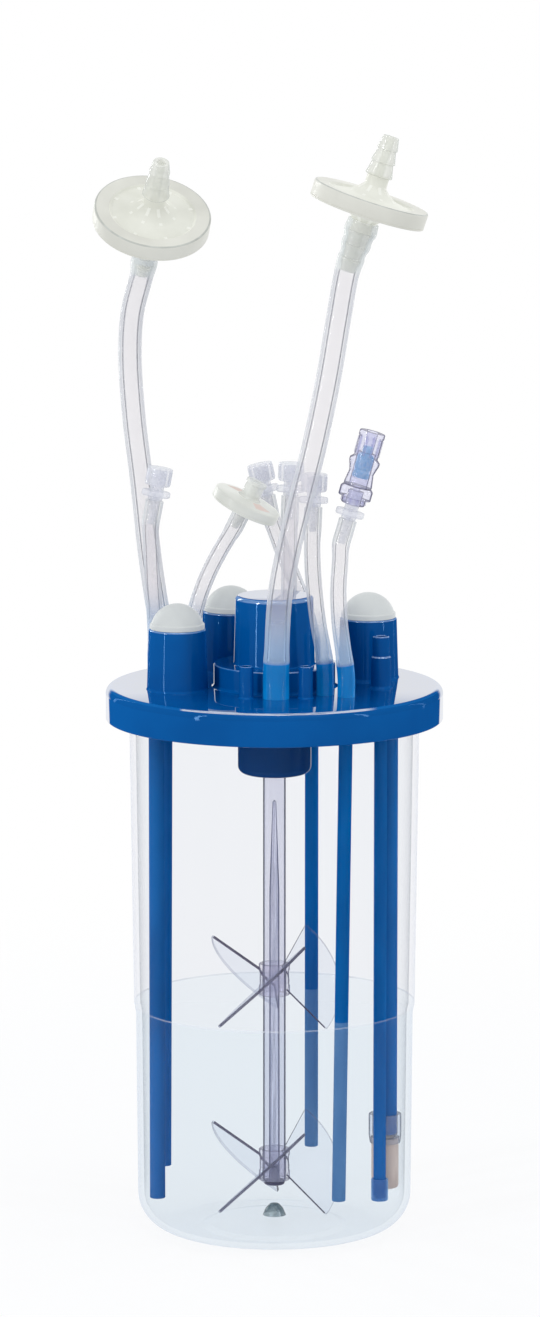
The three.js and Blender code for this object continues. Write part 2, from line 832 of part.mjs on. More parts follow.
// Half of a disc filter's shell from the middle of its joint face: a chamber, a clamped rim, and a rim that
// steps down to the dished face.
function chamberProfile({ radius, halfThickness, edge, clampWidth, chamberInset, chamberDepth }) {
  const clamp = membraneThickness / 2 + seatGap;
  const pocket = radius - clampWidth + seatGap;
  const chamber = radius - clampWidth - chamberInset;
  return [
    [0, chamberDepth],
    [chamber, chamberDepth],
    [chamber, clamp],
    [pocket, clamp],
    [pocket, seatGap / 2],
    [radius, seatGap / 2],
    [radius, halfThickness - edge],
    [radius - edge, halfThickness],
  ];
}

// Outline of the stepped nozzle; grow widens it into a socket.
function nozzleProfile(grow = 0) {
  const { root, neck, steps, tip } = largeFilter.nozzle;
  const points = [[0, root - grow]];
  let radius = neck;
  points.push([radius + grow, root - grow]);
  for (const { z, lip, behind } of steps) {
    points.push([radius + grow, z - grow], [lip + grow, z - grow]);
    radius = behind;
  }
  points.push([radius + grow, tip + grow], [0, tip + grow]);
  return points;
}

function ventShellBody() {
  const { radius, halfThickness, rimWidth, dishWall, dishZ, coneRadius, coneZ, peakZ } = largeFilter;
  const { ribs, ribWidth, ribRise, ribRoot, nozzle, bore } = largeFilter;
  const rimInner = radius - rimWidth;
  const face = solid(revolve([
    ...chamberProfile(largeFilter),
    [rimInner, halfThickness],
    [rimInner - dishWall, dishZ],
    [coneRadius, coneZ],
    [0, peakZ],
  ], medium));
  const inside = nozzle.neck - 1;
  const outside = rimInner - dishWall / 2;
  const rib = new THREE.Shape([
    new THREE.Vector2(inside, dishZ - ribRise),
    new THREE.Vector2(outside, dishZ - ribRise),
    new THREE.Vector2(outside, dishZ + ribRise),
    new THREE.Vector2(inside, ribRoot),
  ]);
  const ribGeometry = new THREE.ExtrudeGeometry(rib, { depth: ribWidth, bevelEnabled: false })
    .translate(0, 0, -ribWidth / 2)
    .rotateX(Math.PI / 2);
  let shell = face.add(solid(revolve(nozzleProfile(), coarse)));
  for (let i = 0; i < ribs; i += 1) {
    const turn = new THREE.Matrix4().makeRotationZ((2 * Math.PI * (i + 0.5)) / ribs);
    shell = shell.add(solid(ribGeometry, turn));
  }
  return shell.subtract(cylinder(bore, -throughCut, nozzle.tip + throughCut, small));
}

function smallShellFace() {
  const { coneRadius, coneZ } = smallFilter;
  return solid(revolve([...chamberProfile(smallFilter), [coneRadius, coneZ], [0, coneZ]], medium));
}

function sterileBottomGeometry() {
  const { barb, coneZ } = smallFilter;
  const stem = solid(revolve(barbProfile(barb), small), shift(0, 0, coneZ));
  const cut = cylinder(barb.bore, -throughCut, coneZ + barb.height + throughCut, small);
  return toGeometry(smallShellFace().add(stem).subtract(cut));
}

function sterileTopGeometry() {
  const { coneRadius, coneZ, inletBore, inletRadius, inletRise, inletHeight } = smallFilter;
  const { inletFlange, inletFlangeHeight } = smallFilter;
  const neckZ = coneZ + inletRise;
  const top = neckZ + inletHeight;
  const inlet = solid(revolve([
    [0, coneZ - sunk / 2],
    [coneRadius - inletFlange, coneZ - sunk / 2],
    [coneRadius - inletFlange, coneZ],
    [inletRadius, neckZ],
    [inletRadius, top - inletFlangeHeight],
    [inletRadius + inletFlange, top - inletFlangeHeight],
    [inletRadius + inletFlange, top],
    [0, top],
  ], coarse));
  const cut = cylinder(inletBore, -throughCut, top + throughCut, small);
  return toGeometry(smallShellFace().add(inlet).subtract(cut));
}

function membraneGeometry({ radius, clampWidth }) {
  return toGeometry(cylinder(radius - clampWidth, -membraneThickness / 2, membraneThickness / 2, medium));
}

// ---------------------------------------------------------------- luer fittings and valve

// Female luer: a barb below, a finger flange with round ends, and a neck with the tapered socket.
function luerFittingGeometry() {
  const { shoulderRadius, neckRadius, flangeDepth, flangeWidth, flangeThickness, socketRadius } = luer;
  const barb = solid(revolve(barbProfile(luer.barb), small), flip());
  const stem = solid(revolve([
    [0, 0],
    [shoulderRadius, 0],
    [shoulderRadius, luerFlangeTop - sunk / 2],
    [neckRadius, luerFlangeTop - sunk / 2],
    [neckRadius, luerTop],
    [0, luerTop],
  ], coarse));
  const end = flangeDepth / 2;
  const reach = flangeWidth / 2 - end;
  const wing = new THREE.Shape();
  wing.absarc(reach, 0, end, -Math.PI / 2, Math.PI / 2, false);
  wing.absarc(-reach, 0, end, Math.PI / 2, (3 * Math.PI) / 2, false);
  const flange = new THREE.ExtrudeGeometry(wing, {
    depth: flangeThickness,
    bevelEnabled: false,
    curveSegments: 4,
  });
  const socket = cylinder(socketRadius, luerTop - luer.socketDepth, luerTop + throughCut, small);
  const bore = cylinder(luer.barb.bore, -luer.barb.height - throughCut, luerTop, small);
  return toGeometry(
    barb.add(stem).add(solid(flange, shift(0, 0, luer.shoulderHeight))).subtract(socket).subtract(bore),
  );
}

function luerCapGeometry() {
  const { reveal, wall, roof, edge, nibRadius, nibLength } = luerCap;
  const cavity = luer.neckRadius + seatGap;
  const radius = cavity + wall;
  const bottom = luerFlangeTop + reveal;
  const ceiling = luerTop + seatGap;
  const top = ceiling + roof;
  const body = solid(revolve([
    [0, ceiling],
    [cavity, ceiling],
    [cavity, bottom],
    [radius, bottom],
    [radius, top - edge],
    [radius - edge, top],
    [0, top],
  ], coarse));
  return toGeometry(body.add(cylinder(nibRadius, ceiling - nibLength, ceiling + roof / 2, small)));
}

const valveBaseBottom = luerFlangeTop + valve.reveal;
const valveCollarBottom = valveBaseBottom + valve.stubHeight;
const valveBaseTop = valveCollarBottom + valve.collarHeight;
const valveBodyBottom = valveBaseTop + seatGap;
const chamberTop = valveBodyBottom + valve.chamberHeight;

function valveBaseGeometry() {
  const { stubRadius, collarRadius, footRadius, edge } = valve;
  const neckBore = luer.neckRadius + seatGap;
  const ceiling = luerTop + seatGap;
  const bore = luer.socketRadius - 2 * seatGap;
  return toGeometry(solid(revolveRing([
    [neckBore, valveBaseBottom],
    [stubRadius - edge, valveBaseBottom],
    [stubRadius, valveBaseBottom + edge],
    [stubRadius, valveCollarBottom],
    [collarRadius, valveCollarBottom],
    [collarRadius - edge, valveBaseTop - 2 * edge],
    [footRadius, valveBaseTop],
    [bore, valveBaseTop],
    [bore, ceiling],
    [neckBore, ceiling],
  ], coarse)));
}

function valveBodyGeometry() {
  const { footRadius, waistRadius, waistRise, shoulderRadius, shoulderRise, shoulderHeight, edge } = valve;
  const { neckRadius, neckHeight, lipRise, lipHeight, chamberRadius, mouthRadius } = valve;
  const waistZ = valveBodyBottom + waistRise;
  const shoulderZ = waistZ + shoulderRise;
  const neckZ = shoulderZ + shoulderHeight;
  const top = neckZ + neckHeight;
  const lipRadius = neckRadius + lipRise;
  return toGeometry(solid(revolveRing([
    [chamberRadius, valveBodyBottom],
    [footRadius, valveBodyBottom],
    [waistRadius, waistZ],
    [shoulderRadius, shoulderZ],
    [shoulderRadius, shoulderZ + shoulderHeight / 2],
    [neckRadius, neckZ],
    [neckRadius, top - lipHeight],
    [lipRadius, top - lipHeight + lipRise],
    [lipRadius, top - edge],
    [lipRadius - edge, top],
    [mouthRadius, top],
    [mouthRadius, chamberTop],
    [chamberRadius, chamberTop],
  ], coarse)));
}

function bungGeometry() {
  const radius = valve.chamberRadius - seatGap;
  const neck = valve.mouthRadius - seatGap;
  const bottom = valveBodyBottom + bung.travel + bung.floorGap;
  const shoulder = chamberTop - seatGap;
  return toGeometry(solid(revolve([
    [0, bottom],
    [radius, bottom],
    [radius, shoulder - bung.shoulder],
    [neck, shoulder],
    [neck, chamberTop + bung.neckRise],
    [0, chamberTop + bung.neckRise],
  ], coarse)));
}

// ---------------------------------------------------------------- soft tubes

// Routes of the soft tubes: x, y and height above the plate. Each starts on its barb and ends at the fitting
// or filter that it carries.
const routes = {
  vent_tube_left: {
    site: 'vent_left',
    outer: ventHose.left,
    between: [[-46.4, 17.2, 17], [-48.6, 17.4, 26], [-52.4, 17.4, 51], [-55.9, 17, 84.5], [-59.1, 15.6, 112],
      [-60.6, 12.4, 139], [-59.4, 8.4, 157]],
    filter: { centre: [-50.9, -10.6, 198.6], axis: [0.147, -0.517, 0.844] },
  },
  vent_tube_right: {
    site: 'vent_right',
    outer: ventHose.right,
    between: [[0.9, -32.2, 18], [2.2, -33.4, 42], [5.2, -34.6, 60], [10.4, -35.4, 82], [16.6, -35.2, 107],
      [22.4, -34.2, 135], [26.4, -33, 159]],
    filter: { centre: [39, -35.4, 206.9], axis: [0.309, -0.111, 0.945] },
  },
  sterile_tube: {
    site: 'sterile',
    outer: sampleHose,
    between: [[-35.2, 14, 16], [-33.2, 14.2, 30], [-28.8, 14.6, 43], [-23.4, 14.8, 54]],
    filter: { centre: [-12, 13.4, 75], axis: [0.444, -0.08, 0.893], isSmall: true },
  },
  sample_tube_left: {
    site: 'left',
    outer: sampleHose,
    between: [[-49.9, 6, 16], [-50.4, 6, 29], [-51.3, 6, 44], [-51.8, 6, 57]],
    luer: { at: [-50.2, 6, 78], axis: [0.174, 0, 0.985] },
  },
  sample_tube_back_left: {
    site: 'back_left',
    outer: sampleHose,
    between: [[15.6, 38.2, 16], [12.6, 38.9, 28], [8, 39.6, 40], [3.6, 40, 51]],
    luer: { at: [-3.4, 40, 75], axis: [-0.21, 0, 0.977] },
  },
  sample_tube_back: {
    site: 'back',
    outer: sampleHose,
    between: [[6, 31.6, 16], [6.1, 31.6, 31], [6.3, 31.6, 47]],
    luer: { at: [6.8, 31.6, 76.3], axis: [0.03, 0, 1] },
  },
  sample_tube_middle: {
    site: 'middle',
    outer: sampleHose,
    between: [[20.6, -22.9, 17], [18.4, -22.4, 29], [16.6, -21.4, 44], [15.8, -20.4, 57]],
    luer: { at: [16.2, -19.4, 78.9], axis: [0.04, 0.04, 1] },
  },
  valve_tube: {
    site: 'valve',
    outer: sampleHose,
    between: [[29, -28, 17], [27.2, -28, 31], [26.6, -28, 45], [27.3, -28, 57]],
    luer: { at: [30.6, -28, 74.8], axis: [0.269, 0, 0.963] },
  },
};

function abovePlate([x, y, z]) {
  return [x, y, plateTop + z];
}

function along(origin, axis, distance) {
  const step = new THREE.Vector3(...axis).setLength(distance);
  return step.add(new THREE.Vector3(...origin)).toArray();
}

function luerPose(route) {
  return pose(abovePlate(route.luer.at), route.luer.axis);
}

function filterPose(route) {
  return pose(abovePlate(route.filter.centre), route.filter.axis);
}

// Where each route ends, and the socket that its fitting makes there.
function endOf(route) {
  if (route.luer) {
    const { at, axis } = route.luer;
    return {
      reach: luer.barb.height,
      origin: along(abovePlate(at), axis, -seatGap),
      axis,
      fitting: luerPose(route).multiply(flip()),
      socket: revolve(barbProfile(luer.barb, seatGap), small),
    };
  }
  const { axis, isSmall } = route.filter;
  const centre = abovePlate(route.filter.centre);
  const under = filterPose(route).multiply(flip());
  if (isSmall) {
    const { barb, coneZ } = smallFilter;
    return {
      reach: barb.height,
      origin: along(centre, axis, -(coneZ + seatGap)),
      axis,
      fitting: under.multiply(shift(0, 0, coneZ)),
      socket: revolve(barbProfile(barb, seatGap), small),
    };
  }
  const { steps, tip } = largeFilter.nozzle;
  const mouth = steps[0].z - cuff.lap;
  return {
    reach: tip - mouth,
    origin: along(centre, axis, -mouth),
    axis,
    fitting: under,
    socket: revolve(nozzleProfile(seatGap), coarse),
    cuff: revolve([
      [0, mouth],
      [steps[0].lip + cuff.mouthWall, mouth],
      ...steps.map(({ z, lip }) => [lip + cuff.wall, z]),
      [route.outer, tip],
      [0, tip],
    ], hoseSides),
  };
}

function routeCurve(route) {
  const { at, barb } = barbSites[route.site];
  const end = endOf(route);
  const points = [
    [...at, plateTop + seatGap],
    [...at, plateTop + 0.6 * barb.height],
    ...route.between.map(abovePlate),
    along(end.origin, end.axis, -end.reach),
    along(end.origin, end.axis, -0.5 * end.reach),
    end.origin,
  ];
  return new THREE.CatmullRomCurve3(points.map((p) => new THREE.Vector3(...p)), false, 'centripetal');
}

function polygon(radius, sides) {
  return new THREE.Shape(Array.from({ length: sides }, (_, i) => {
    const angle = (2 * Math.PI * i) / sides;
    return new THREE.Vector2(radius * Math.cos(angle), radius * Math.sin(angle));
  }));
}

function hoseGeometry(route) {
  const { at, barb } = barbSites[route.site];
  const curve = routeCurve(route);
  const sweep = new THREE.ExtrudeGeometry(polygon(route.outer, hoseSides), {
    steps: Math.ceil(curve.getLength() / (hoseStep * route.outer)),
    extrudePath: curve,
    bevelEnabled: false,
  });
  let body = solid(sweep);
  const footRadius = barb.lip + seatGap + hoseWall;
  if (footRadius > route.outer) {
    const low = plateTop + seatGap;
    const foot = revolve([
      [0, low],
      [footRadius, low],
      [footRadius, plateTop + barb.height - barb.taper],
      [route.outer, plateTop + barb.height + barb.lead],
      [0, plateTop + barb.height + barb.lead],
    ], hoseSides);
    body = body.add(solid(foot, shift(...at, 0)));
  }
  const end = endOf(route);
  if (end.cuff) body = body.add(solid(end.cuff, end.fitting));
  body = body.subtract(solid(revolve(barbProfile(barb, seatGap), small), shift(...at, plateTop)));
  return toGeometry(body.subtract(solid(end.socket, end.fitting)));
}

// ---------------------------------------------------------------- assembly

const blue = 0x155ba3;
const darkBlue = 0x183c74;
const stemBlue = 0x1a5ca8;
const milky = 0xdfe0d6;
const clear = 0xe6edf5;
const tinted = 0xbfbbd3;
const steel = 0xb8bcc0;
const white = 0xf2f2ee;

const group = new THREE.Group();
group.name = 'bench_bioreactor';

function finish(color, roughness, opacity = 1, metalness = 0) {
  return new THREE.MeshStandardMaterial({ color, roughness, metalness, opacity, transparent: opacity < 1 });
}

function add(name, geometry, material, matrix) {
  const mesh = new THREE.Mesh(geometry, material);
  mesh.name = name;
  if (matrix) matrix.decompose(mesh.position, mesh.quaternion, mesh.scale);
  group.add(mesh);
}

add('vessel', vesselGeometry(), finish(clear, 0.06, 0.25));
add('seal_ring', sealGeometry(), finish(0x2c3036, 0.7));
add('head_plate', headPlateGeometry(), finish(blue, 0.18));
for (const [side, site] of Object.entries(towerSites)) {
  add(`port_cap_${side}`, portCapGeometry(), finish(0xe2e4e2, 0.35), shift(...site, towerTop + seatGap));
}

const lowerRing = bearingGeometry(shaft.radius, lowerBearing, lowerBearingBottom);
const upperRing = bearingGeometry(shaft.journalRadius, upperBearing, upperBearingBottom);
add('bearing_housing', housingGeometry(), finish(darkBlue, 0.2));
add('lower_bearing', lowerRing, finish(steel, 0.35, 1, 0.9));
add('upper_bearing', upperRing, finish(steel, 0.35, 1, 0.9));
add('drive_shaft', shaftGeometry(), finish(tinted, 0.1, 0.45));
add('shaft_end_plug', endPlugGeometry(), finish(0x5a5670, 0.4));
add('magnet_rotor', rotorGeometry(), finish(0xd8dadd, 0.5));
magnetSites().forEach((site, i) => {
  const matrix = shift(...site, rotorTop - magnet.height);
  add(`drive_magnet_${i + 1}`, magnetGeometry(), finish(steel, 0.3, 1, 0.9), matrix);
});
for (const [name, z] of Object.entries(impellerHeights)) {
  add(name, impellerGeometry(), finish(tinted, 0.1, 0.45), shift(0, 0, z));
}

for (const [name, tube] of Object.entries(dipTubes)) {
  add(name, dipTubeGeometry(tube), finish(stemBlue, 0.35), shift(...tube.at, 0));
}
add('sparger_tip', spargerTipGeometry(), finish(0x8fb0d6, 0.15, 0.6), shift(...dipTubes.sparger_tube.at, 0));
add('probe_sleeve', probeSleeveGeometry(), finish(stemBlue, 0.35), shift(...probe.at, 0));
add('probe_collar', probeCollarGeometry(), finish(0xc4cbd6, 0.15, 0.5), shift(...probe.at, 0));
add('probe_tip', probeTipGeometry(), finish(0xb9a59d, 0.6), shift(...probe.at, 0));

for (const [name, route] of Object.entries(routes)) {
  add(name, hoseGeometry(route), finish(0xe6e4e8, 0.2, 0.5));
}

for (const side of ['left', 'right']) {
  const upper = filterPose(routes[`vent_tube_${side}`]);
  const lower = upper.clone().multiply(flip());
  add(`vent_filter_top_${side}`, toGeometry(ventShellBody()), finish(milky, 0.45), upper);
  add(`vent_filter_bottom_${side}`, toGeometry(ventShellBody()), finish(milky, 0.45), lower);
  add(`vent_membrane_${side}`, membraneGeometry(largeFilter), finish(white, 0.9), upper);
}

const sterile = filterPose(routes.sterile_tube);
add('sterile_filter_top', sterileTopGeometry(), finish(milky, 0.4), sterile);
add('sterile_filter_bottom', sterileBottomGeometry(), finish(milky, 0.4), sterile.clone().multiply(flip()));
add('sterile_membrane', membraneGeometry(smallFilter), finish(white, 0.9), sterile);

const cappedTubes = ['left', 'back_left', 'back', 'middle'];
for (const name of cappedTubes) {
  const matrix = luerPose(routes[`sample_tube_${name}`]);
  add(`luer_fitting_${name}`, luerFittingGeometry(), finish(0xe4e7ea, 0.2, 0.6), matrix);
  add(`luer_cap_${name}`, luerCapGeometry(), finish(0xe9ecef, 0.25, 0.6), matrix);
}

const valvePose = luerPose(routes.valve_tube);
add('luer_fitting_valve', luerFittingGeometry(), finish(0xe4e7ea, 0.2, 0.6), valvePose);
add('valve_base', valveBaseGeometry(), finish(0xb9b4c9, 0.15, 0.6), valvePose);
add('valve_body', valveBodyGeometry(), finish(0xc3c0da, 0.1, 0.5), valvePose);
add('valve_bung', bungGeometry(), finish(0x5f9fd4, 0.5), valvePose);

export default group;
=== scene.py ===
import math

import bmesh
import bpy
from mathutils import Matrix, Vector


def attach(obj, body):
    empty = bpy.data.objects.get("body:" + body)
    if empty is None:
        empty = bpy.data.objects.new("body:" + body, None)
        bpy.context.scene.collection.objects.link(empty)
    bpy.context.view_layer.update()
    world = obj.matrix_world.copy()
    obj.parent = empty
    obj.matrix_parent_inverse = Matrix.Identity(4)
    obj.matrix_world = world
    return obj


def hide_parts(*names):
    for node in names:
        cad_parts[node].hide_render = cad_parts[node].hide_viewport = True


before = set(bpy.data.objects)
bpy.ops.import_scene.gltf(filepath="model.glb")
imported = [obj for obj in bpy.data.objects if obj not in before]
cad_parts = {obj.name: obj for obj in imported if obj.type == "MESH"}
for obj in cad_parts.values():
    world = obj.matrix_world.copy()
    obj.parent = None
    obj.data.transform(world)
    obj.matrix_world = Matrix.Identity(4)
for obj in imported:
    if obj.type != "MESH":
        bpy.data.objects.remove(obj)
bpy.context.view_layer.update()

scene = bpy.context.scene
mm = 0.001
white = (1, 1, 1, 1)
black = (0, 0, 0, 1)


# A dictionary of sizes, each also read as an attribute.
class Sizes(dict):
    __getattr__ = dict.__getitem__


# A socket that takes part in sums: each of its operators adds one Math node.
class Wire:
    def __init__(self, board, socket):
        self.board = board
        self.socket = socket

    def __getitem__(self, name):
        return Wire(self.board, self.socket.node.outputs[name])


def addOperator(name, operation):
    # the plain form and the reflected form of one operator
    setattr(Wire, f"__{name}__", lambda wire, other: wire.board.maths(operation, wire, other))
    setattr(Wire, f"__r{name}__", lambda wire, other: wire.board.maths(operation, other, wire))


operators = {"add": "ADD", "sub": "SUBTRACT", "mul": "MULTIPLY", "truediv": "DIVIDE", "pow": "POWER"}
for name, operation in operators.items():
    addOperator(name, operation)


# A node tree: one method adds any node, with its settings first and then its sockets.
class Board:
    def __init__(self, tree):
        self.tree = tree
        tree.nodes.clear()

    def node(self, kind, settings=None, inputs=None, out=0):
        item = self.tree.nodes.new(kind)
        for key, value in (settings or {}).items():
            setattr(item, key, value)
        for key, value in (inputs or {}).items():
            if isinstance(value, Wire):
                self.tree.links.new(value.socket, item.inputs[key])
            else:
                item.inputs[key].default_value = value
        return Wire(self, item.outputs[out]) if item.outputs else item

    def maths(self, operation, first, second):
        return self.node("ShaderNodeMath", {"operation": operation}, {0: first, 1: second})

    def clamp(self, value):
        return self.node("ShaderNodeClamp", None, {"Value": value, "Min": 0.0, "Max": 1.0})

    def step(self, value, low, high):
        settings = {"interpolation_type": "SMOOTHSTEP"}
        return self.node("ShaderNodeMapRange", settings, {"Value": value, "From Min": low, "From Max": high})

    def blend(self, share, first, second):
        return self.node("ShaderNodeMix", {"data_type": "RGBA"}, {0: share, 6: first, 7: second}, 2)

    def mixShader(self, share, first, second):
        return self.node("ShaderNodeMixShader", None, {0: share, 1: first, 2: second})

    def place(self, axis=None):
        place = self.node("ShaderNodeTexCoord", out="Object")
        return self.node("ShaderNodeSeparateXYZ", None, {0: place}, axis) if axis else place

    def noise(self, scale, detail=2.0, along=1.0):
        # along is the scale in Z, below 1 for streaks
        place = self.place()
        if along != 1:
            place = self.node("ShaderNodeMapping", None, {"Vector": place, "Scale": (1.0, 1.0, along)})
        return self.node("ShaderNodeTexNoise", None, {"Vector": place, "Scale": scale, "Detail": detail})

    def facing(self):
        return self.node("ShaderNodeLayerWeight", None, {"Blend": 0.5}, "Facing")

    def gloss(self, rough, shade=white):
        return self.node("ShaderNodeBsdfAnisotropic", None, {"Color": shade, "Roughness": rough})

    def through(self, tint):
        return self.node("ShaderNodeBsdfTransparent", None, {"Color": linear(*tint)})

    def finish(self, shader, kind="Material"):
        self.node("ShaderNodeOutput" + kind, None, {"Surface": shader})


def linear(*shade):
    parts = [part / 255 for part in shade]
    return (*[p / 12.92 if p <= 0.04045 else ((p + 0.055) / 1.055) ** 2.4 for p in parts], 1.0)


def newFinish(name):
    finish = bpy.data.materials.new(name)
    finish.use_nodes = True
    return finish, Board(finish.node_tree)


def addObject(name, data):
    item = bpy.data.objects.new(name, data)
    scene.collection.objects.link(item)
    return item


# ------- camera

cameraPlan = Sizes(lens=191.0, sensor=36.0, place=(-1.85, -2899.2, 732.7), aim=(-1.85, 0.0, 244.4))


def aimAt(item, place, aim):
    item.location = place
    item.rotation_euler = (aim - place).to_track_quat("-Z", "Y").to_euler()


def makeCamera():
    data = bpy.data.cameras.new("viewCamera")
    data.lens = cameraPlan.lens
    data.sensor_width = cameraPlan.sensor
    data.clip_end = 50
    scene.camera = addObject("viewCamera", data)
    aimAt(scene.camera, Vector(cameraPlan.place) * mm, Vector(cameraPlan.aim) * mm)


makeCamera()
print("camera placed")


# ------- finishes

def moulded(name, dark, light, rough=0.3, mirror=0.3, metal=0.0, patch=60.0, along=1.0, bump=0.06, lift=0.0,
            low=None, polish=0.0, skin=0.03, slant=(0.83, 0.92), glint=0.014, bright=0.0, span=None,
            shine=0.0):
    # opaque moulded plastic: slow change of shade, faint grain in gloss and surface
    finish, board = newFinish(name)
    fine = board.noise(900.0)
    spread = board.step(board.noise(patch, 3.0, along), 0.3, 0.7)
    shade = board.blend(spread, linear(*dark), linear(*light))
    if low:
        # a paler shade below a given height: painted, standing in for the veil of light from the cup's hazy
        # lower wall in front
        top, lowDark, lowLight = low
        below = 1 - board.step(board.place("Z"), top - 0.0004, top)
        shade = board.blend(below, shade, board.blend(spread, linear(*lowDark), linear(*lowLight)))
    # lift makes the body give out its own shade as light, a painted glow that flattens its shading
    body = board.node("ShaderNodeBsdfPrincipled", None, {
        "Base Color": board.blend(lift * 1.1, shade, black) if lift else shade,
        "Emission Color": shade,
        "Emission Strength": lift,
        "Roughness": rough + (fine - 0.5) * 0.08,
        "Specular IOR Level": mirror,
        "Metallic": metal,
        "Normal": board.node("ShaderNodeBump", None, {"Strength": bump, "Distance": 0.0002, "Height": fine}),
    })
    if polish:
        # a polished skin that mirrors its surroundings where it is seen at a slant
        share = board.step(board.facing(), *slant) * polish
        if bright:
            # a painted glint: more gloss placed by position on the front of the rim, fading out towards its
            # ends
            across, depth, (low, high) = board.place("X"), board.place("Y"), span
            paintedGlintStretch = board.step(across, low, low + 0.002) * (1 - board.step(across, high - 0.006, high))
            share = share + paintedGlintStretch * (1 - board.step(depth, -0.04, -0.03)) * bright
        body = board.mixShader(glint, body, board.gloss(skin, (0.3, 0.62, 1.0, 1)))
        body = board.mixShader(board.clamp(share + shine), body, board.gloss(skin))
    board.finish(body)
    return finish


def seeThrough(board, shade, hold, through, mirror, rough, gloss):
    # a film of colour over an open body, with gloss on top; the film also gives out a little of its shade as
    # light, a painted glow
    film = board.node("ShaderNodeBsdfPrincipled", None, {
        "Base Color": shade, "Emission Color": shade, "Emission Strength": 0.12, "Roughness": rough,
        "Specular IOR Level": 0.05,
    })
    body = board.mixShader(board.clamp(hold), through, film)
    board.finish(board.mixShader(board.clamp(mirror), body, board.gloss(gloss)))


def clear(name, tint, film, rim, rest, edge, power=2.0, line=None, shine=0.02, mirror=0.3, patch=40.0,
          detail=2.0, along=1.0, swing=0.8, haze=None, fade=None):
    # clear or tinted plastic: open where it is seen face on, a film of its own colour; towards its edges the
    # film and rim carry painted shade that stands in for refraction at its silhouettes
    finish, board = newFinish(name)
    facing = board.facing()
    hold = rest * (1 - swing / 2 + swing * board.step(board.noise(patch, detail, along), 0.3, 0.7))
    edging = (board.step(facing, *line) if line else facing ** power) * edge
    through = board.through(tint)
    if haze:
        # a fine haze with a tint of its own below a given height
        amount, top, lowTint = haze
        above = board.step(board.place("Z"), top - 0.0004, top)
        hold = hold + amount * (1 - above)
        through = board.mixShader(above, board.through(lowTint), through)
    if fade:
        # the painted dark rim dies away towards the floor
        edging = edging * board.step(board.place("Z"), *fade)
    shade = board.blend(board.step(facing, *(line or (0.2, 0.95))), linear(*film), linear(*rim))
    seeThrough(board, shade, hold + edging, through, shine + facing ** 5 * mirror, 0.2, 0.06)
    return finish


def hoseFinish(name, tint, film, rim, rest, edge, line, stub, glow, milk, shine, mirror):
    # soft clear tube: the barb below shows through as blue, the fitting above as milky; above the barb a pale
    # blue glow is painted light carried up the wall from the barb, and the rim colours at the silhouettes are
    # painted shade
    finish, board = newFinish(name)
    facing = board.facing()
    shares = {}
    for mark in hoseMarks:
        shares[mark] = board.node("ShaderNodeAttribute", {"attribute_name": mark}, None, "Fac")
    cloud = board.noise(90.0, 2.0, 0.4)
    edging = board.step(facing, *line)
    plain = board.blend(edging, linear(*film), linear(*rim))
    blue = board.blend(board.step(cloud, 0.3, 0.7), linear(0, 110, 182), linear(6, 130, 200))
    milky = board.blend(shares["milk"] * 0.8, plain, linear(222, 227, 225))
    # painted glow: pale blue light from the barb, carried up the wall
    pale = board.blend(shares["glow"], milky, linear(178, 203, 228))
    hold = rest * (0.8 + 0.4 * cloud) + edging * edge
    hold = hold + shares["stub"] * stub + shares["glow"] * glow + shares["milk"] * milk
    shade = board.blend(shares["stub"], pale, blue)
    seeThrough(board, shade, hold, board.through(tint), shine + facing ** 5 * mirror, 0.25, 0.08)
    return finish


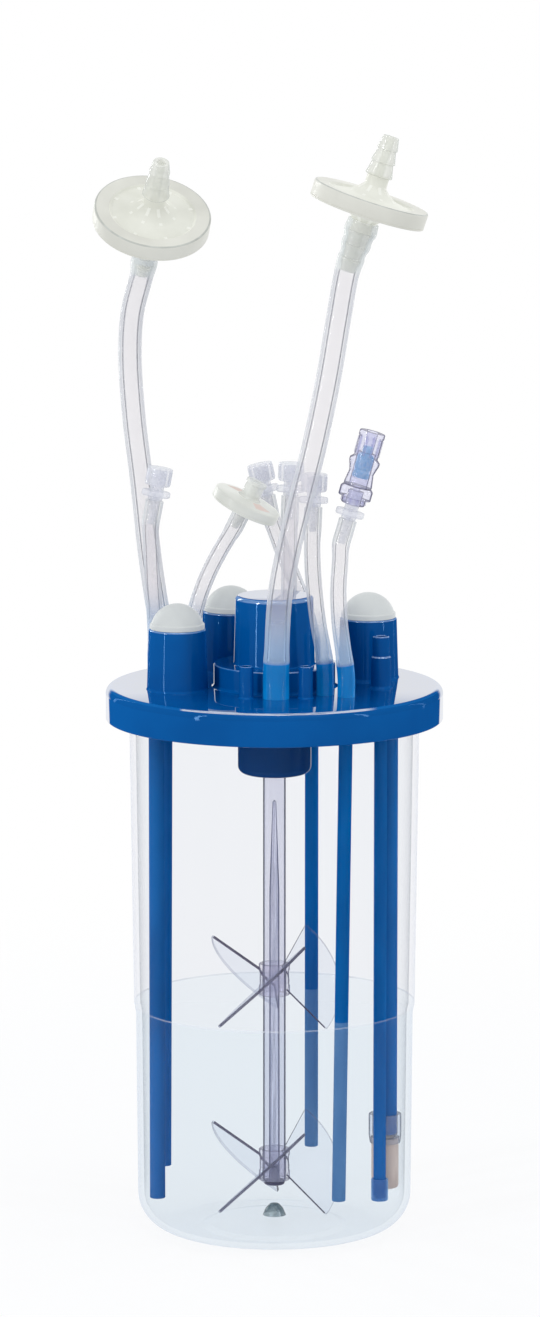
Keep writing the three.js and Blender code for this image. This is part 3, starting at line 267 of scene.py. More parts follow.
hoseMarks = ("stub", "glow", "milk")
blue = dict(dark=(0, 76, 144), light=(2, 88, 160), mirror=0.0, patch=18.0)
pipe = dict(dark=(0, 84, 150), light=(0, 100, 172), rough=0.4, mirror=0.0, patch=70.0, along=0.25, bump=0.12,
            polish=0.6, skin=0.12, glint=0.012)
milky = dict(rough=0.36, mirror=0.2)
mouldedLooks = {
    "plateBlue": dict(blue, polish=0.82, slant=(0.79, 0.82)),
    "towerBlue": dict(blue, polish=0.6, slant=(0.88, 0.94)),
    # plateEdge: a lighter blue on the rim's rounded edge, a painted highlight, with the painted glint line on
    # its front
    "plateEdge": dict(blue, dark=(6, 86, 156), light=(12, 96, 166), polish=0.72, slant=(0.76, 0.82),
                      bright=0.52, span=(-0.0395, 0.043)),
    "plateTop": dict(blue, dark=(0, 74, 140), light=(2, 84, 154), polish=0.72, skin=0.015,
                     slant=(0.74, 0.82)),
    # plateLine: a lighter blue with a fixed share of gloss, painted highlights on small rounded corners
    "plateLine": dict(blue, dark=(30, 104, 172), light=(44, 118, 184), polish=0.5, skin=0.08, shine=0.14),
    "housingBlue": dict(blue, dark=(10, 51, 101), light=(16, 61, 115), patch=24.0, polish=0.9, skin=0.05),
    # tubePale: paler below the cup's step, a painted veil of light from the cup's haze in front
    "tubePale": dict(pipe, low=(0.0945, (72, 116, 166), (92, 134, 178))),
    "tubeBlue": pipe,
    # lift in the looks below is that painted glow
    "capWhite": dict(dark=(207, 211, 211), light=(214, 218, 217), rough=0.42, mirror=0.1, lift=0.42, bump=0.08),
    "filterMilky": dict(milky, dark=(214, 214, 205), light=(226, 226, 217), patch=40.0, lift=0.4),
    "dishMilky": dict(milky, dark=(221, 222, 211), light=(232, 233, 223), lift=0.45),
    "ribMilky": dict(milky, dark=(237, 238, 229), light=(242, 243, 235), lift=0.5),
    "rimLine": dict(milky, dark=(184, 187, 180), light=(200, 203, 196), patch=200.0, lift=0.3),
    "sterileMilky": dict(dark=(214, 216, 209), light=(227, 229, 223), mirror=0.25, lift=0.45),
    "markRed": dict(dark=(220, 200, 190), light=(224, 209, 201), rough=0.5, patch=400.0, bump=0.02, lift=0.3),
    "membraneWhite": dict(dark=(232, 232, 228), light=(242, 242, 238), rough=0.8, patch=200.0, bump=0.3),
    "tipBrown": dict(dark=(192, 170, 160), light=(216, 196, 184), rough=0.45, mirror=0.2, patch=120.0,
                     along=0.3, bump=0.2, lift=0.15),
    "sealRubber": dict(dark=(28, 31, 36), light=(40, 44, 50), rough=0.65, patch=90.0, bump=0.2),
    "bearingSteel": dict(dark=(170, 174, 178), light=(196, 199, 202), metal=0.9, patch=150.0),
    "rotorWhite": dict(dark=(208, 210, 213), light=(220, 222, 225), rough=0.45, patch=90.0, bump=0.1),
    "plugGrey": dict(dark=(76, 72, 98), light=(98, 94, 118), rough=0.35, patch=90.0),
    "bungBlue": dict(dark=(104, 168, 212), light=(150, 205, 234), rough=0.4, patch=120.0, lift=0.3),
}
cupShell = dict(rest=0.0, shine=0.0015)
drawn = dict(shine=0.006, mirror=0.01, along=0.06, patch=300.0)
# rim colours, and the dark films of cupInner, cupNub, bladeEdge and bladeTip, are painted shade standing in for
# refraction at edges and silhouettes; cupLine is a pale line painted at the cup's step, standing in for
# refraction there
clearLooks = {
    "cupOuter": dict(cupShell, tint=(252, 252, 253), film=(240, 245, 250), rim=(204, 211, 223), edge=0.5,
                     power=6.0, mirror=0.06, haze=(0.014, 0.097, (247, 250, 252))),
    "cupInner": dict(cupShell, tint=(250, 251, 252), film=(110, 116, 126), rim=(106, 112, 122), edge=0.7,
                     power=8.0, mirror=0.05, fade=(0.004, 0.026)),
    "cupLine": dict(tint=(246, 248, 250), film=(228, 233, 241), rim=(206, 213, 223), rest=0.22, edge=0.2,
                    power=6.0, shine=0.015),
    "cupNub": dict(tint=(196, 208, 210), film=(96, 114, 120), rim=(56, 74, 80), rest=0.5, edge=0.8, shine=0.05,
                   mirror=0.15, along=0.2, patch=400.0),
    "nozzleMilky": dict(tint=(249, 249, 247), film=(228, 229, 222), rim=(196, 199, 194), rest=0.44, edge=0.4,
                        mirror=0.15, patch=200.0, swing=0.3),
    "inletClear": dict(tint=(250, 250, 249), film=(227, 229, 225), rim=(204, 207, 205), rest=0.42, edge=0.25,
                       power=2.5, mirror=0.15, patch=200.0, swing=0.5),
    "shaftOuter": dict(drawn, tint=(244, 244, 249), film=(208, 210, 228), rim=(78, 80, 94), rest=0.1, edge=0.85,
                       line=(0.42, 0.58)),
    "shaftBore": dict(tint=(250, 250, 253), film=(140, 148, 174), rim=(92, 94, 116), rest=0.2, edge=0.7,
                      line=(0.24, 0.42), shine=0.008, mirror=0.01, along=0.04, patch=900.0,
                      swing=2.0, detail=3.0),
    "hubTint": dict(tint=(251, 250, 252), film=(186, 183, 205), rim=(100, 95, 120), rest=0.11, edge=0.5,
                    line=(0.5, 0.72), shine=0.01, mirror=0.03, along=0.4, patch=240.0, swing=1.6),
    "bladeFace": dict(tint=(250, 251, 253), film=(222, 228, 240), rim=(206, 208, 224), rest=0.008, edge=0.1,
                      power=4.0, shine=0.003, mirror=0.03),
    "bladeEdge": dict(tint=(170, 166, 186), film=(76, 72, 90), rim=(64, 60, 78), rest=0.8, edge=0.2, mirror=0.1,
                      swing=0.3),
    "bladeTip": dict(tint=(240, 241, 246), film=(150, 152, 168), rim=(110, 112, 128), rest=0.12, edge=0.5,
                     mirror=0.1, swing=0.6),
    "spargerClear": dict(tint=(190, 216, 242), film=(56, 120, 186), rim=(140, 178, 214), rest=0.42, edge=0.6,
                         power=3.0, mirror=0.2),
    "collarClear": dict(tint=(244, 246, 250), film=(206, 210, 220), rim=(96, 98, 112), rest=0.1, edge=0.6,
                        line=(0.5, 0.7), mirror=0.1),
    "luerClear": dict(tint=(252, 252, 253), film=(231, 232, 237), rim=(200, 204, 211), rest=0.3, edge=0.34,
                      power=2.5, shine=0.015, mirror=0.1, patch=400.0, swing=0.3),
    "valveTint": dict(tint=(244, 244, 251), film=(212, 214, 232), rim=(70, 66, 102), rest=0.1, edge=0.8,
                      line=(0.46, 0.68), shine=0.03, mirror=0.12, patch=800.0, detail=3.0, swing=1.6),
}
hoseLooks = {
    "hoseWall": dict(tint=(253, 253, 253), film=(234, 233, 237), rim=(204, 206, 211), rest=0.1, edge=0.42,
                     line=(0.2, 0.42), stub=0.66, glow=0.08, milk=0.05, shine=0.012, mirror=0.02),
    "hoseBore": dict(tint=(253, 252, 252), film=(229, 227, 232), rim=(100, 106, 117), rest=0.15, edge=0.42,
                     line=(0.36, 0.56), stub=0.8, glow=0.42, milk=0.1, shine=0.002, mirror=0.01),
}
finishes = {}
for kind, looks in ((moulded, mouldedLooks), (clear, clearLooks), (hoseFinish, hoseLooks)):
    for name, look in looks.items():
        finishes[name] = kind(name, **look)
print("finishes made:", len(finishes))


# ------- shapes, in millimetres until a piece is made

def rounded(outline, closed=False, steps=5):
    # an outline of (radius, height) points, with a third number where a corner is rounded
    result = []
    count = len(outline)
    for i, point in enumerate(outline):
        here = Vector(point[:2])
        size = point[2] if len(point) > 2 else 0
        if not size or (not closed and i in (0, count - 1)):
            result.append(here)
            continue
        back = Vector(outline[i - 1][:2]) - here
        ahead = Vector(outline[(i + 1) % count][:2]) - here
        limit = 0.49 * min(back.length, ahead.length)
        back.normalize()
        ahead.normalize()
        half = back.angle(ahead) / 2
        if half > math.pi / 2 - 0.02:
            result.append(here)
            continue
        reach = min(size / math.tan(half), limit)
        middle = here + (back + ahead).normalized() * (reach * math.tan(half) / math.sin(half))
        first = here + back * reach - middle
        last = here + ahead * reach - middle
        turnBy = math.atan2(first.cross(last), first.dot(last))
        result += [middle + Matrix.Rotation(turnBy * k / steps, 2) @ first for k in range(steps + 1)]
    return result


def bridged(bm, rings, marks=None):
    # walls between rings of corners; a ring may be a single point
    faces = []
    for number, (low, high) in enumerate(zip(rings, rings[1:])):
        sides = max(len(low), len(high))
        for i in range(sides):
            j = (i + 1) % sides
            corners = (low[i % len(low)], low[j % len(low)], high[j % len(high)], high[i % len(high)])
            face = bm.faces.new(tuple(dict.fromkeys(corners)))
            face.material_index = marks[number] if marks else 0
            faces.append(face)
    return faces


def shut(bm, rings):
    # walls and both ends of a solid made from rings of corners
    faces = bridged(bm, rings)
    bm.faces.new(rings[0][::-1])
    bm.faces.new(rings[-1])
    bmesh.ops.recalc_face_normals(bm, faces=bm.faces)
    return faces


def turned(bm, outline, sides=64, place=Matrix(), closed=False, steps=5, marker=None):
    # a closed body of revolution about +Z; marker gives each stretch of the outline its finish
    points = rounded(outline, closed, steps)
    angles = [2 * math.pi * k / sides for k in range(sides)]
    rings = []
    for r, z in points:
        spots = [(0, 0, z)] if r < 1e-5 else [(r * math.cos(a), r * math.sin(a), z) for a in angles]
        rings.append([bm.verts.new(place @ Vector(spot)) for spot in spots])
    if closed:
        rings.append(rings[0])
        points.append(points[0])
    marks = [marker(p, q) for p, q in zip(points, points[1:])] if marker else None
    bmesh.ops.recalc_face_normals(bm, faces=bridged(bm, rings, marks))


def dome(r, z, radius, start, end, steps=16):
    angles = [math.radians(start + (end - start) * k / steps) for k in range(steps + 1)]
    return [(max(0.0, r + radius * math.cos(a)), z + radius * math.sin(a)) for a in angles]


def shift(x, y, z=0):
    return Matrix.Translation((x, y, z))


flip = Matrix.Rotation(math.pi, 4, "X")
fixedBody = "cup_and_plate"


def asMesh(bm, name="shape"):
    mesh = bpy.data.meshes.new(name)
    bm.to_mesh(mesh)
    bm.free()
    return mesh


def makePiece(name, bm, looks, node, sharp=30, body=fixedBody):
    bm.transform(Matrix.Scale(mm, 4))
    mesh = asMesh(bm, name)
    for look in looks:
        mesh.materials.append(finishes[look])
    mesh.shade_smooth()
    mesh.set_sharp_from_angle(angle=math.radians(sharp))
    item = addObject(name, mesh)
    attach(item, body)
    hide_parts(node)
    return item


def makeTurned(name, node, look, slotName, outline, sides=64, place=Matrix(), closed=False, steps=5, sharp=30,
               body=fixedBody):
    bm = bmesh.new()
    turned(bm, outline, sides, Matrix(), closed, steps)
    bm.transform(place)
    return makePiece(name, bm, (look,), node, sharp, body)


# ------- heights and places shared by the pieces

plan = Sizes(seatGap=0.3, plateTop=233.0, plateUnder=229.0, cupInner=55.4)
seatGap, plateTop, plateUnder, cupInner = plan.values()


def site(inset, degrees):
    radius = cupInner - inset
    return (radius * math.cos(math.radians(degrees)), radius * math.sin(math.radians(degrees)))


def abovePlate(point):
    return Vector((point[0], point[1], plateTop + point[2]))


barbLarge = Sizes(root=3.8, lip=4.4, height=15.9, lead=4.0, barbs=2, bore=2.2)
barbSmall = Sizes(root=2.1, lip=2.5, height=14.0, lead=3.5, barbs=1, bore=1.2)
barbLuer = Sizes(root=1.9, lip=2.25, height=10.5, lead=2.6, barbs=1, bore=0.9)
barbSterile = Sizes(root=1.9, lip=2.25, height=8.0, lead=2.0, barbs=1, bore=0.9)
barbSites = {
    "vent_left": (site(6, 159.6), barbLarge),
    "vent_right": (site(23.4, -88.8), barbLarge),
    "left": (site(5.2, 173.1), barbSmall),
    "sterile": (site(17.7, 158.2), barbSmall),
    "back_left": (site(14.2, 67.2), barbSmall),
    "back": (site(23.2, 79.3), barbSmall),
    "middle": (site(24.1, -47.2), barbSmall),
    "valve": (site(14.4, -43.1), barbSmall),
}


def turnBarb(bm, barb, place, marker=None, foot=0.75, taper=0.5):
    # bored right through, so the outline closes on itself
    pitch = (barb.height - barb.lead) / barb.barbs
    points = [(barb.bore, -foot), (barb.root, -foot)]
    for i in range(barb.barbs):
        z = barb.lead + i * pitch
        points += [(barb.root, z), (barb.lip, z, 0.15)]
    points += [(barb.root - taper, barb.height, 0.3), (barb.bore, barb.height, 0.2)]
    turned(bm, points, 40, place, True, 3, marker)


# ------- soft tubes

nozzle = Sizes(neck=4.65, tip=29.2, steps=((12.1, 5.8, 4.5), (18.0, 5.15, 3.8), (23.6, 4.4, 3.3)))
hosePlan = Sizes(
    small=3.4, step=1.6, sides=40, boreShare=0.68, cuffLap=4.6, cuffWall=1.3,
    cuffMouth=0.7, sag=0.7, glowReach=27.0,
)
routes = {
    # place of the barb, radius, declared length, points above the plate, filter or fitting and its axis
    "vent_tube_left": Sizes(
        site="vent_left", outer=4.9, length=0.198, at=(-50.9, -10.6, 198.6), axis=(0.147, -0.517, 0.844),
        between=((-46.4, 17.2, 17), (-48.6, 17.4, 26), (-52.4, 17.4, 51), (-55.9, 17, 84.5), (-59.1, 15.6, 112),
                 (-60.6, 12.4, 139), (-59.4, 8.4, 157)),
    ),
    "vent_tube_right": Sizes(
        site="vent_right", outer=5.2, length=0.204, at=(39, -35.4, 206.9), axis=(0.309, -0.02, 0.951),
        between=((0.9, -32.2, 18), (2.2, -33.4, 42), (5.2, -34.6, 60), (10.4, -35.4, 82), (16.6, -35.2, 107),
                 (22.4, -34.2, 135), (26.4, -33, 159)),
    ),
    "sterile_tube": Sizes(
        site="sterile", length=0.076, at=(-12, 13.4, 75), axis=(0.444, -0.08, 0.893),
        between=((-35.2, 14, 16), (-33.2, 14.2, 30), (-28.8, 14.6, 43), (-23.4, 14.8, 54)),
    ),
    "sample_tube_left": Sizes(
        site="left", length=0.078, at=(-50.2, 6, 78), axis=(0.174, 0, 0.985),
        between=((-49.9, 6, 16), (-50.4, 6, 29), (-51.3, 6, 44), (-51.8, 6, 57)),
    ),
    "sample_tube_back_left": Sizes(
        site="back_left", length=0.078, at=(-3.4, 40, 75), axis=(-0.21, 0, 0.977),
        between=((15.6, 38.2, 16), (12.6, 38.9, 28), (8, 39.6, 40), (3.6, 40, 51)),
    ),
    "sample_tube_back": Sizes(
        site="back", length=0.076, at=(6.8, 31.6, 76.3), axis=(0.03, 0, 1),
        between=((6, 31.6, 16), (6.1, 31.6, 31), (6.3, 31.6, 47)),
    ),
    "sample_tube_middle": Sizes(
        site="middle", length=0.079, at=(16.2, -19.4, 78.9), axis=(0.04, 0.04, 1),
        between=((20.6, -22.9, 17), (18.4, -22.4, 29), (16.6, -21.4, 44), (15.8, -20.4, 57)),
    ),
    "valve_tube": Sizes(
        site="valve", length=0.075, at=(30.6, -28, 74.8), axis=(0.269, 0, 0.963),
        between=((29, -28, 17), (27.2, -28, 31), (26.6, -28, 45), (27.3, -28, 57)),
    ),
}
cuffFrom = nozzle.steps[0][0] - hosePlan.cuffLap
hoseEnds = {
    # how far behind the filter or fitting the tube ends, and how long a barb it covers
    "vent": Sizes(back=cuffFrom, reach=nozzle.tip - cuffFrom),
    "sterile": Sizes(back=3.2 + seatGap, reach=barbSterile["height"]),
    "luer": Sizes(back=seatGap, reach=barbLuer["height"]),
}


def endOf(name):
    return hoseEnds.get(name.split("_")[0], hoseEnds["luer"])


def routePoints(name, route):
    (x, y), barb = barbSites[route.site]
    axis = Vector(route.axis).normalized()
    origin = abovePlate(route.at) - axis * endOf(name).back
    points = [Vector((x, y, plateTop + seatGap)), abovePlate((x, y, 0.6 * barb.height))]
    points += [abovePlate(p) for p in route.between]
    return points + [origin - axis * endOf(name).reach * share for share in (1.0, 0.5, 0.0)]


def smoothRoute(points, step):
    # centripetal spline through the points, then stations at even spacing
    guide = [2 * points[0] - points[1], *points, 2 * points[-1] - points[-2]]
    dense = []
    for a, b, c, d in zip(guide, guide[1:], guide[2:], guide[3:]):
        gaps = [math.sqrt((q - p).length) for p, q in ((a, b), (b, c), (c, d))]
        leave = ((b - a) / gaps[0] - (c - a) / (gaps[0] + gaps[1]) + (c - b) / gaps[1]) * gaps[1]
        arrive = ((c - b) / gaps[1] - (d - b) / (gaps[1] + gaps[2]) + (d - c) / gaps[2]) * gaps[1]
        for k in range(24):
            t = k / 24
            dense.append(
                b * (2 * t**3 - 3 * t**2 + 1) + leave * (t**3 - 2 * t**2 + t)
                + c * (3 * t**2 - 2 * t**3) + arrive * (t**3 - t**2)
            )
    dense.append(points[-1])
    lengths = [0.0]
    for p, q in zip(dense, dense[1:]):
        lengths.append(lengths[-1] + (q - p).length)
    count = max(2, round(lengths[-1] / step))
    stations, k = [], 0
    for n in range(count + 1):
        wanted = lengths[-1] * n / count
        while k < len(dense) - 2 and lengths[k + 1] < wanted:
            k += 1
        stations.append(dense[k].lerp(dense[k + 1], (wanted - lengths[k]) / (lengths[k + 1] - lengths[k])))
    return stations, lengths[-1]


def ease(value, low, high):
    t = min(1.0, max(0.0, (value - low) / (high - low)))
    return t * t * (3 - 2 * t)


def cuffSection(z, outer, radius, bore):
    # the tube's end swells over each step of the nozzle
    lips = [(at, lip + hosePlan.cuffWall) for at, lip, behind in nozzle.steps]
    first, last = lips[0][0], lips[-1][0]
    mouth = (cuffFrom, nozzle.steps[0][1] + hosePlan.cuffMouth)
    peaks = [mouth, *lips, (nozzle.tip + 1.5, outer)]
    if z >= peaks[-1][0]:
        return radius, bore
    for (z0, r0), (z1, r1) in zip(peaks, peaks[1:]):
        if z0 - 0.01 <= z <= z1:
            t = (z - z0) / (z1 - z0)
            sag = hosePlan.sag * math.sin(math.pi * t) if z1 <= last and z0 >= first else 0
            radius = r0 + (r1 - r0) * t - sag
    inner = nozzle.neck
    for at, lip, behind in nozzle.steps:
        if z >= at:
            inner = lip + (behind - lip) * min(1.0, (z - at) / 5.2)
    return radius, min(radius - 0.4, max(bore, inner + 0.2))


def hoseSection(name, route, along, total):
    # outer and inner radius at a distance along the tube, how much barb or nozzle shows there, and the share of
    # painted glow above the barb
    outer = route.get("outer", hosePlan.small)
    barb = barbSites[route.site][1]
    height = barb.height
    radius = outer + (0.32 if barb is barbLarge else 0.3) * (1 - ease(along, height - 1.5, height + 6))
    bore = outer * hosePlan.boreShare
    bore = max(bore, (barb.lip + 0.12) * (1 - ease(along, height - 1, height + 3)))
    stub = 1 - ease(along, height - 0.6, height + 0.1)
    # the share of painted glow from the barb, fading out up the tube
    glow = (1 - stub) * (1 - ease(along, height, height + hosePlan.glowReach))
    left = total - along
    reach = endOf(name).reach
    if endOf(name) is hoseEnds["vent"]:
        radius, bore = cuffSection(cuffFrom + left, outer, radius, bore)
        milk = 1 - ease(left, reach - 0.8, reach)
    else:
        end = 1 - ease(left, reach - 1, reach + 5)
        radius += 0.42 * end
        bore = max(bore, 2.4 * end)
        milk = 0.55 * (1 - ease(left, reach - 0.5, reach))
    return radius, bore, (stub, glow, milk)


def makeHose(name, route):
    stations, total = smoothRoute(routePoints(name, route), hosePlan.step)
    spacing = total / (len(stations) - 1)
    bm = bmesh.new()
    layers = [bm.verts.layers.float.new(mark) for mark in hoseMarks]
    side = (stations[1] - stations[0]).normalized().orthogonal().normalized()
    outside, inside = [], []
    stations[0] = stations[0] - Vector((0, 0, seatGap - 0.02))
    for n, station in enumerate(stations):
        before = stations[max(0, n - 1)]
        after = stations[min(len(stations) - 1, n + 1)]
        tangent = (after - before).normalized()
        side = (side - tangent * side.dot(tangent)).normalized()
        across = tangent.cross(side)
        radius, bore, shares = hoseSection(name, route, n * spacing, total)
        for rings, size in ((outside, radius), (inside, bore)):
            ring = []
            for k in range(hosePlan.sides):
                angle = 2 * math.pi * k / hosePlan.sides
                vert = bm.verts.new(station + size * (math.cos(angle) * side + math.sin(angle) * across))
                for layer, share in zip(layers, shares):
                    vert[layer] = share
                ring.append(vert)
            rings.append(ring)
    marks = [0] * len(outside) + [1] * (len(inside) - 1) + [0]
    bridged(bm, [*outside, *inside[::-1], outside[0]], marks)
    piece = makePiece(name + "_soft", bm, ("hoseWall", "hoseBore"), name, 50)
    return piece, [tuple(p * mm) for p in stations], total


hoses = {}
for name, route in routes.items():
    hoses[name] = makeHose(name, route)
    print(name, "length mm", round(hoses[name][2], 1))


# ------- repeats made by a node tree

def roundTree():
    # turns a shape about +Z into a ring of copies; faces marked by "edge" get a finish of their own
    tree = bpy.data.node_groups.new("ringOfCopies", "GeometryNodeTree")
    board = Board(tree)
    kinds = {"Shape": "Geometry", "Copies": "Int", "Start Angle": "Float", "Face Finish": "Material",
             "Edge Finish": "Material"}
    for name, kind in kinds.items():
        tree.interface.new_socket(name, in_out="INPUT", socket_type="NodeSocket" + kind)
    tree.interface.new_socket("Ring", in_out="OUTPUT", socket_type="NodeSocketGeometry")
    given = board.node("NodeGroupInput")
    spots = board.node("GeometryNodeMeshLine", None, {"Count": given["Copies"], "Offset": (0.0, 0.0, 0.0)})
    index = board.node("GeometryNodeInputIndex")
    angle = given["Start Angle"] + index * (2 * math.pi / given["Copies"])
    turnBy = board.node("FunctionNodeEulerToRotation", None, {
        "Euler": board.node("ShaderNodeCombineXYZ", None, {"X": 0.0, "Y": 0.0, "Z": angle}),
    })
    copies = board.node("GeometryNodeInstanceOnPoints", None, {
        "Points": spots, "Instance": given["Shape"], "Rotation": turnBy,
    })
    whole = board.node("GeometryNodeRealizeInstances", None, {"Geometry": copies})
    plain = board.node("GeometryNodeSetMaterial", None, {"Geometry": whole, "Material": given["Face Finish"]})
    marked = board.node("GeometryNodeInputNamedAttribute", {"data_type": "FLOAT"}, {"Name": "edge"})
    chosen = board.maths("GREATER_THAN", marked, 0.5)
    edged = board.node("GeometryNodeSetMaterial", None, {
        "Geometry": plain, "Selection": chosen, "Material": given["Edge Finish"],
    })
    board.node("NodeGroupOutput", None, {"Ring": edged})
    return tree


ringOfCopies = roundTree()


def takeResult(item, modifier):
    # the plain mesh that a modifier makes
    result = bpy.data.meshes.new_from_object(item.evaluated_get(bpy.context.evaluated_depsgraph_get()))
    item.modifiers.remove(modifier)
    bpy.data.objects.remove(item)
    return result


def ringOf(bm, count, start, faceLook, edgeLook=None):
    # runs the tree on a shape, with its inputs set by identifier
    values = {"Copies": count, "Start Angle": math.radians(start), "Face Finish": finishes[faceLook],
              "Edge Finish": finishes[edgeLook or faceLook]}
    item = addObject("treeRun", asMesh(bm))
    modifier = item.modifiers.new("tree", "NODES")
    modifier.node_group = ringOfCopies
    for socket in ringOfCopies.interface.items_tree:
        if socket.item_type == "SOCKET" and socket.in_out == "INPUT" and socket.name in values:
            modifier[socket.identifier] = values[socket.name]
    return takeResult(item, modifier)


def carved(bm, cutter, looks):
    # the first shape with the second cut away
    base = addObject("base", asMesh(bm))
    for look in looks:
        base.data.materials.append(finishes[look])
    tool = addObject("tool", asMesh(cutter))
    cut = base.modifiers.new("cut", "BOOLEAN")
    cut.operation = "DIFFERENCE"
    cut.solver = "EXACT"
    cut.object = tool
    result = takeResult(base, cut)
    bpy.data.objects.remove(tool)
    return result


def gather(bm, mesh, looks):
    # adds a mesh to a piece in the making, with each face's finish found by name
    order = [looks.index(m.name) if m and m.name in looks else 0 for m in mesh.materials] or [0]
    before = len(bm.faces)
    bm.from_mesh(mesh)
    bm.faces.ensure_lookup_table()
    for face in bm.faces[before:]:
        face.material_index = order[min(face.material_index, len(order) - 1)]
    bpy.data.meshes.remove(mesh)


# ------- cup

cup = Sizes(
    radius=58.0, draft=0.7, stepWidth=0.8, upperDraft=1.7, wall=2.6, corner=15.0,
    stepLow=93.2, stepHigh=96.8, lineHeight=0.7, footWidth=12.0, footLift=1.2, nub=4.5,
    nubHeight=5.2, height=226.2, flangeWidth=4.8, flange=2.2,
)


def makeCup():
    brim, wall, corner, lift, nub = (cup[key] for key in ("height", "wall", "corner", "footLift", "nub"))
    lower = cup.radius + cup.draft
    upper = lower + cup.stepWidth
    mouth = upper + cup.upperDraft
    flange, under = mouth + cup.flangeWidth, brim - cup.flange
    foot = cup.radius - corner
    inFoot = foot - cup.footWidth
    raised, floor = inFoot - 3 * lift, lift + wall
    nubTop = floor + cup.nubHeight
    step, half = cup.stepHigh, cup.lineHeight / 2

    def pick(p, q):
        # the nub, darkened with painted shade, the step's line, a painted pale line, the inside, the outside
        middle = (p + q) / 2
        inside = q.x < p.x < mouth and p.y < brim - 0.01
        onLine = not inside and abs(middle.y - step) < half
        return 3 if inside and middle.x < nub + 0.3 else 2 if onLine else int(inside)

    bm = bmesh.new()
    turned(bm, [
        (0, lift), (raised, lift, 3), (inFoot, 0, 3), *dome(foot, corner, corner, -90, 0),
        (lower, cup.stepLow, 1.6), (upper - 0.1, step - half), (upper, step + half), (mouth, under, 0.6),
        (flange, under, 0.4), (flange, brim, 0.4), (mouth - wall, brim, 0.5), (upper - wall, step, 1.6),
        (lower - wall, cup.stepLow, 1.6), *dome(foot, corner, corner - wall, 0, -90), (inFoot, wall, 3),
        (raised, floor, 3), (nub + 0.6, floor, 0.5), (nub, floor + 1.0, 0.5),
        (nub * 0.86, floor + cup.nubHeight * 0.55, 2), (nub * 0.4, nubTop, 2), (0, nubTop),
    ], 160, steps=6, marker=pick)
    makePiece("culture_cup", bm, ("cupOuter", "cupInner", "cupLine", "cupNub"), "vessel", 40)


makeCup()
print("cup made")


# ------- head plate

head = Sizes(
    radius=71.0, skirtBottom=219.0, skirtWall=3.0, edge=3.0, locator=58.3, locatorWall=2.4, locatorHeight=7.0,
    hubTop=16.5, hubBase=17.3, hubHeight=38.5, hubRoof=3.0, hubWall=2.6, stepWidth=8.3, stepHeight=9.7,
    stepEdge=0.8, bossBore=6.6, boss=8.6, bossDepth=4.3, towerHeight=25.7, towerBore=6.0, glintFrom=6.0,
    glintTo=34.0, ringWidth=1.2, ringDepth=6.5,
)
towerSites = {"front": site(13.7, 192.5), "back": site(12.2, 115.4), "right": site(10.4, 27.8)}
gasSite = site(10.3, -7.1)
probeSite = site(8, 5.6)
postSites = (site(21.6, -110.3), site(21.1, -67.7))
dipPlan = {
    # place, radius, wall, height of the open end, how far that end stands out of plumb, finish
    "dip_tube_front_left": (barbSites["left"][0], 3.3, 0.9, 10.0, 0.0, "tubeBlue"),
    "dip_tube_left": (barbSites["vent_left"][0], 3.2, 0.9, 21.5, -1.0, "tubeBlue"),
    "dip_tube_back": (barbSites["back_left"][0], 2.9, 0.9, 25.0, 0.0, "tubePale"),
    "dip_tube_front": (barbSites["valve"][0], 2.9, 0.9, 17.0, -2.8, "tubePale"),
    "sparger_tube": (gasSite, 2.65, 0.8, 13.2, 0.0, "tubeBlue"),
}
plateLooks = ("plateBlue", "plateEdge", "plateTop", "plateLine", "towerBlue")


def plateOutline():
    h, top, under = head, plateTop, plateUnder
    hubTop = top + h.hubHeight
    ceiling = hubTop - h.hubRoof
    bossEnd = ceiling - h.bossDepth
    cavity = h.hubTop - h.hubWall
    locator, low = h.locator, under - h.locatorHeight
    skirt = h.radius - h.skirtWall
    ring, ledge = h.hubBase + h.stepWidth, top + h.stepHeight
    return [
        (0, ceiling), (h.bossBore, ceiling), (h.bossBore, bossEnd), (h.boss, bossEnd),
        (h.boss, ceiling), (cavity, ceiling, 1), (cavity, under, 0.4), (locator - h.locatorWall, under),
        (locator - h.locatorWall, low, 0.4), (locator - 0.4, low, 0.4), (locator, under), (skirt, under),
        (skirt, h.skirtBottom, 0.4), (h.radius, h.skirtBottom, 0.5), (h.radius, top, h.edge),
        (ring + 0.6, top, 1.0), (ring, top + 1.0, 1.0), (ring, ledge, h.stepEdge),
        (h.hubBase, ledge, 0.8), (h.hubTop, hubTop, 2.0), (0, hubTop),
    ]


def plateMark(p, q):
    # the rim's edge with its painted glint and the top of the rim, the corners of the hub and step with a
    # painted highlight, the rest
    h, top, middle = head, plateTop, (p + q) / 2
    slope = abs(abs(math.degrees(math.atan2(q.x - p.x, p.y - q.y))) - 90)
    if h.radius - h.edge < middle.x and top - h.edge < middle.y:
        return 1 if h.glintFrom < slope < h.glintTo else 2
    onHub = middle.x < h.hubTop + 1 and middle.y > top + h.hubHeight - 2.2
    onStep = middle.x > h.hubBase + h.stepWidth - 1 and middle.y > top + h.stepHeight - 1
    return 3 if (onHub or onStep) and 20 < slope < 70 and (q - p).length < 1 else 0


def cornerMark(p, q):
    # rounded corners above the plate take plateLine, a lighter blue that paints a highlight on them
    lean = math.degrees(math.atan2(abs(q.y - p.y), abs(q.x - p.x)))
    return 3 if 18 < lean < 72 and (q - p).length < 1.0 and p.y > 2 else 4


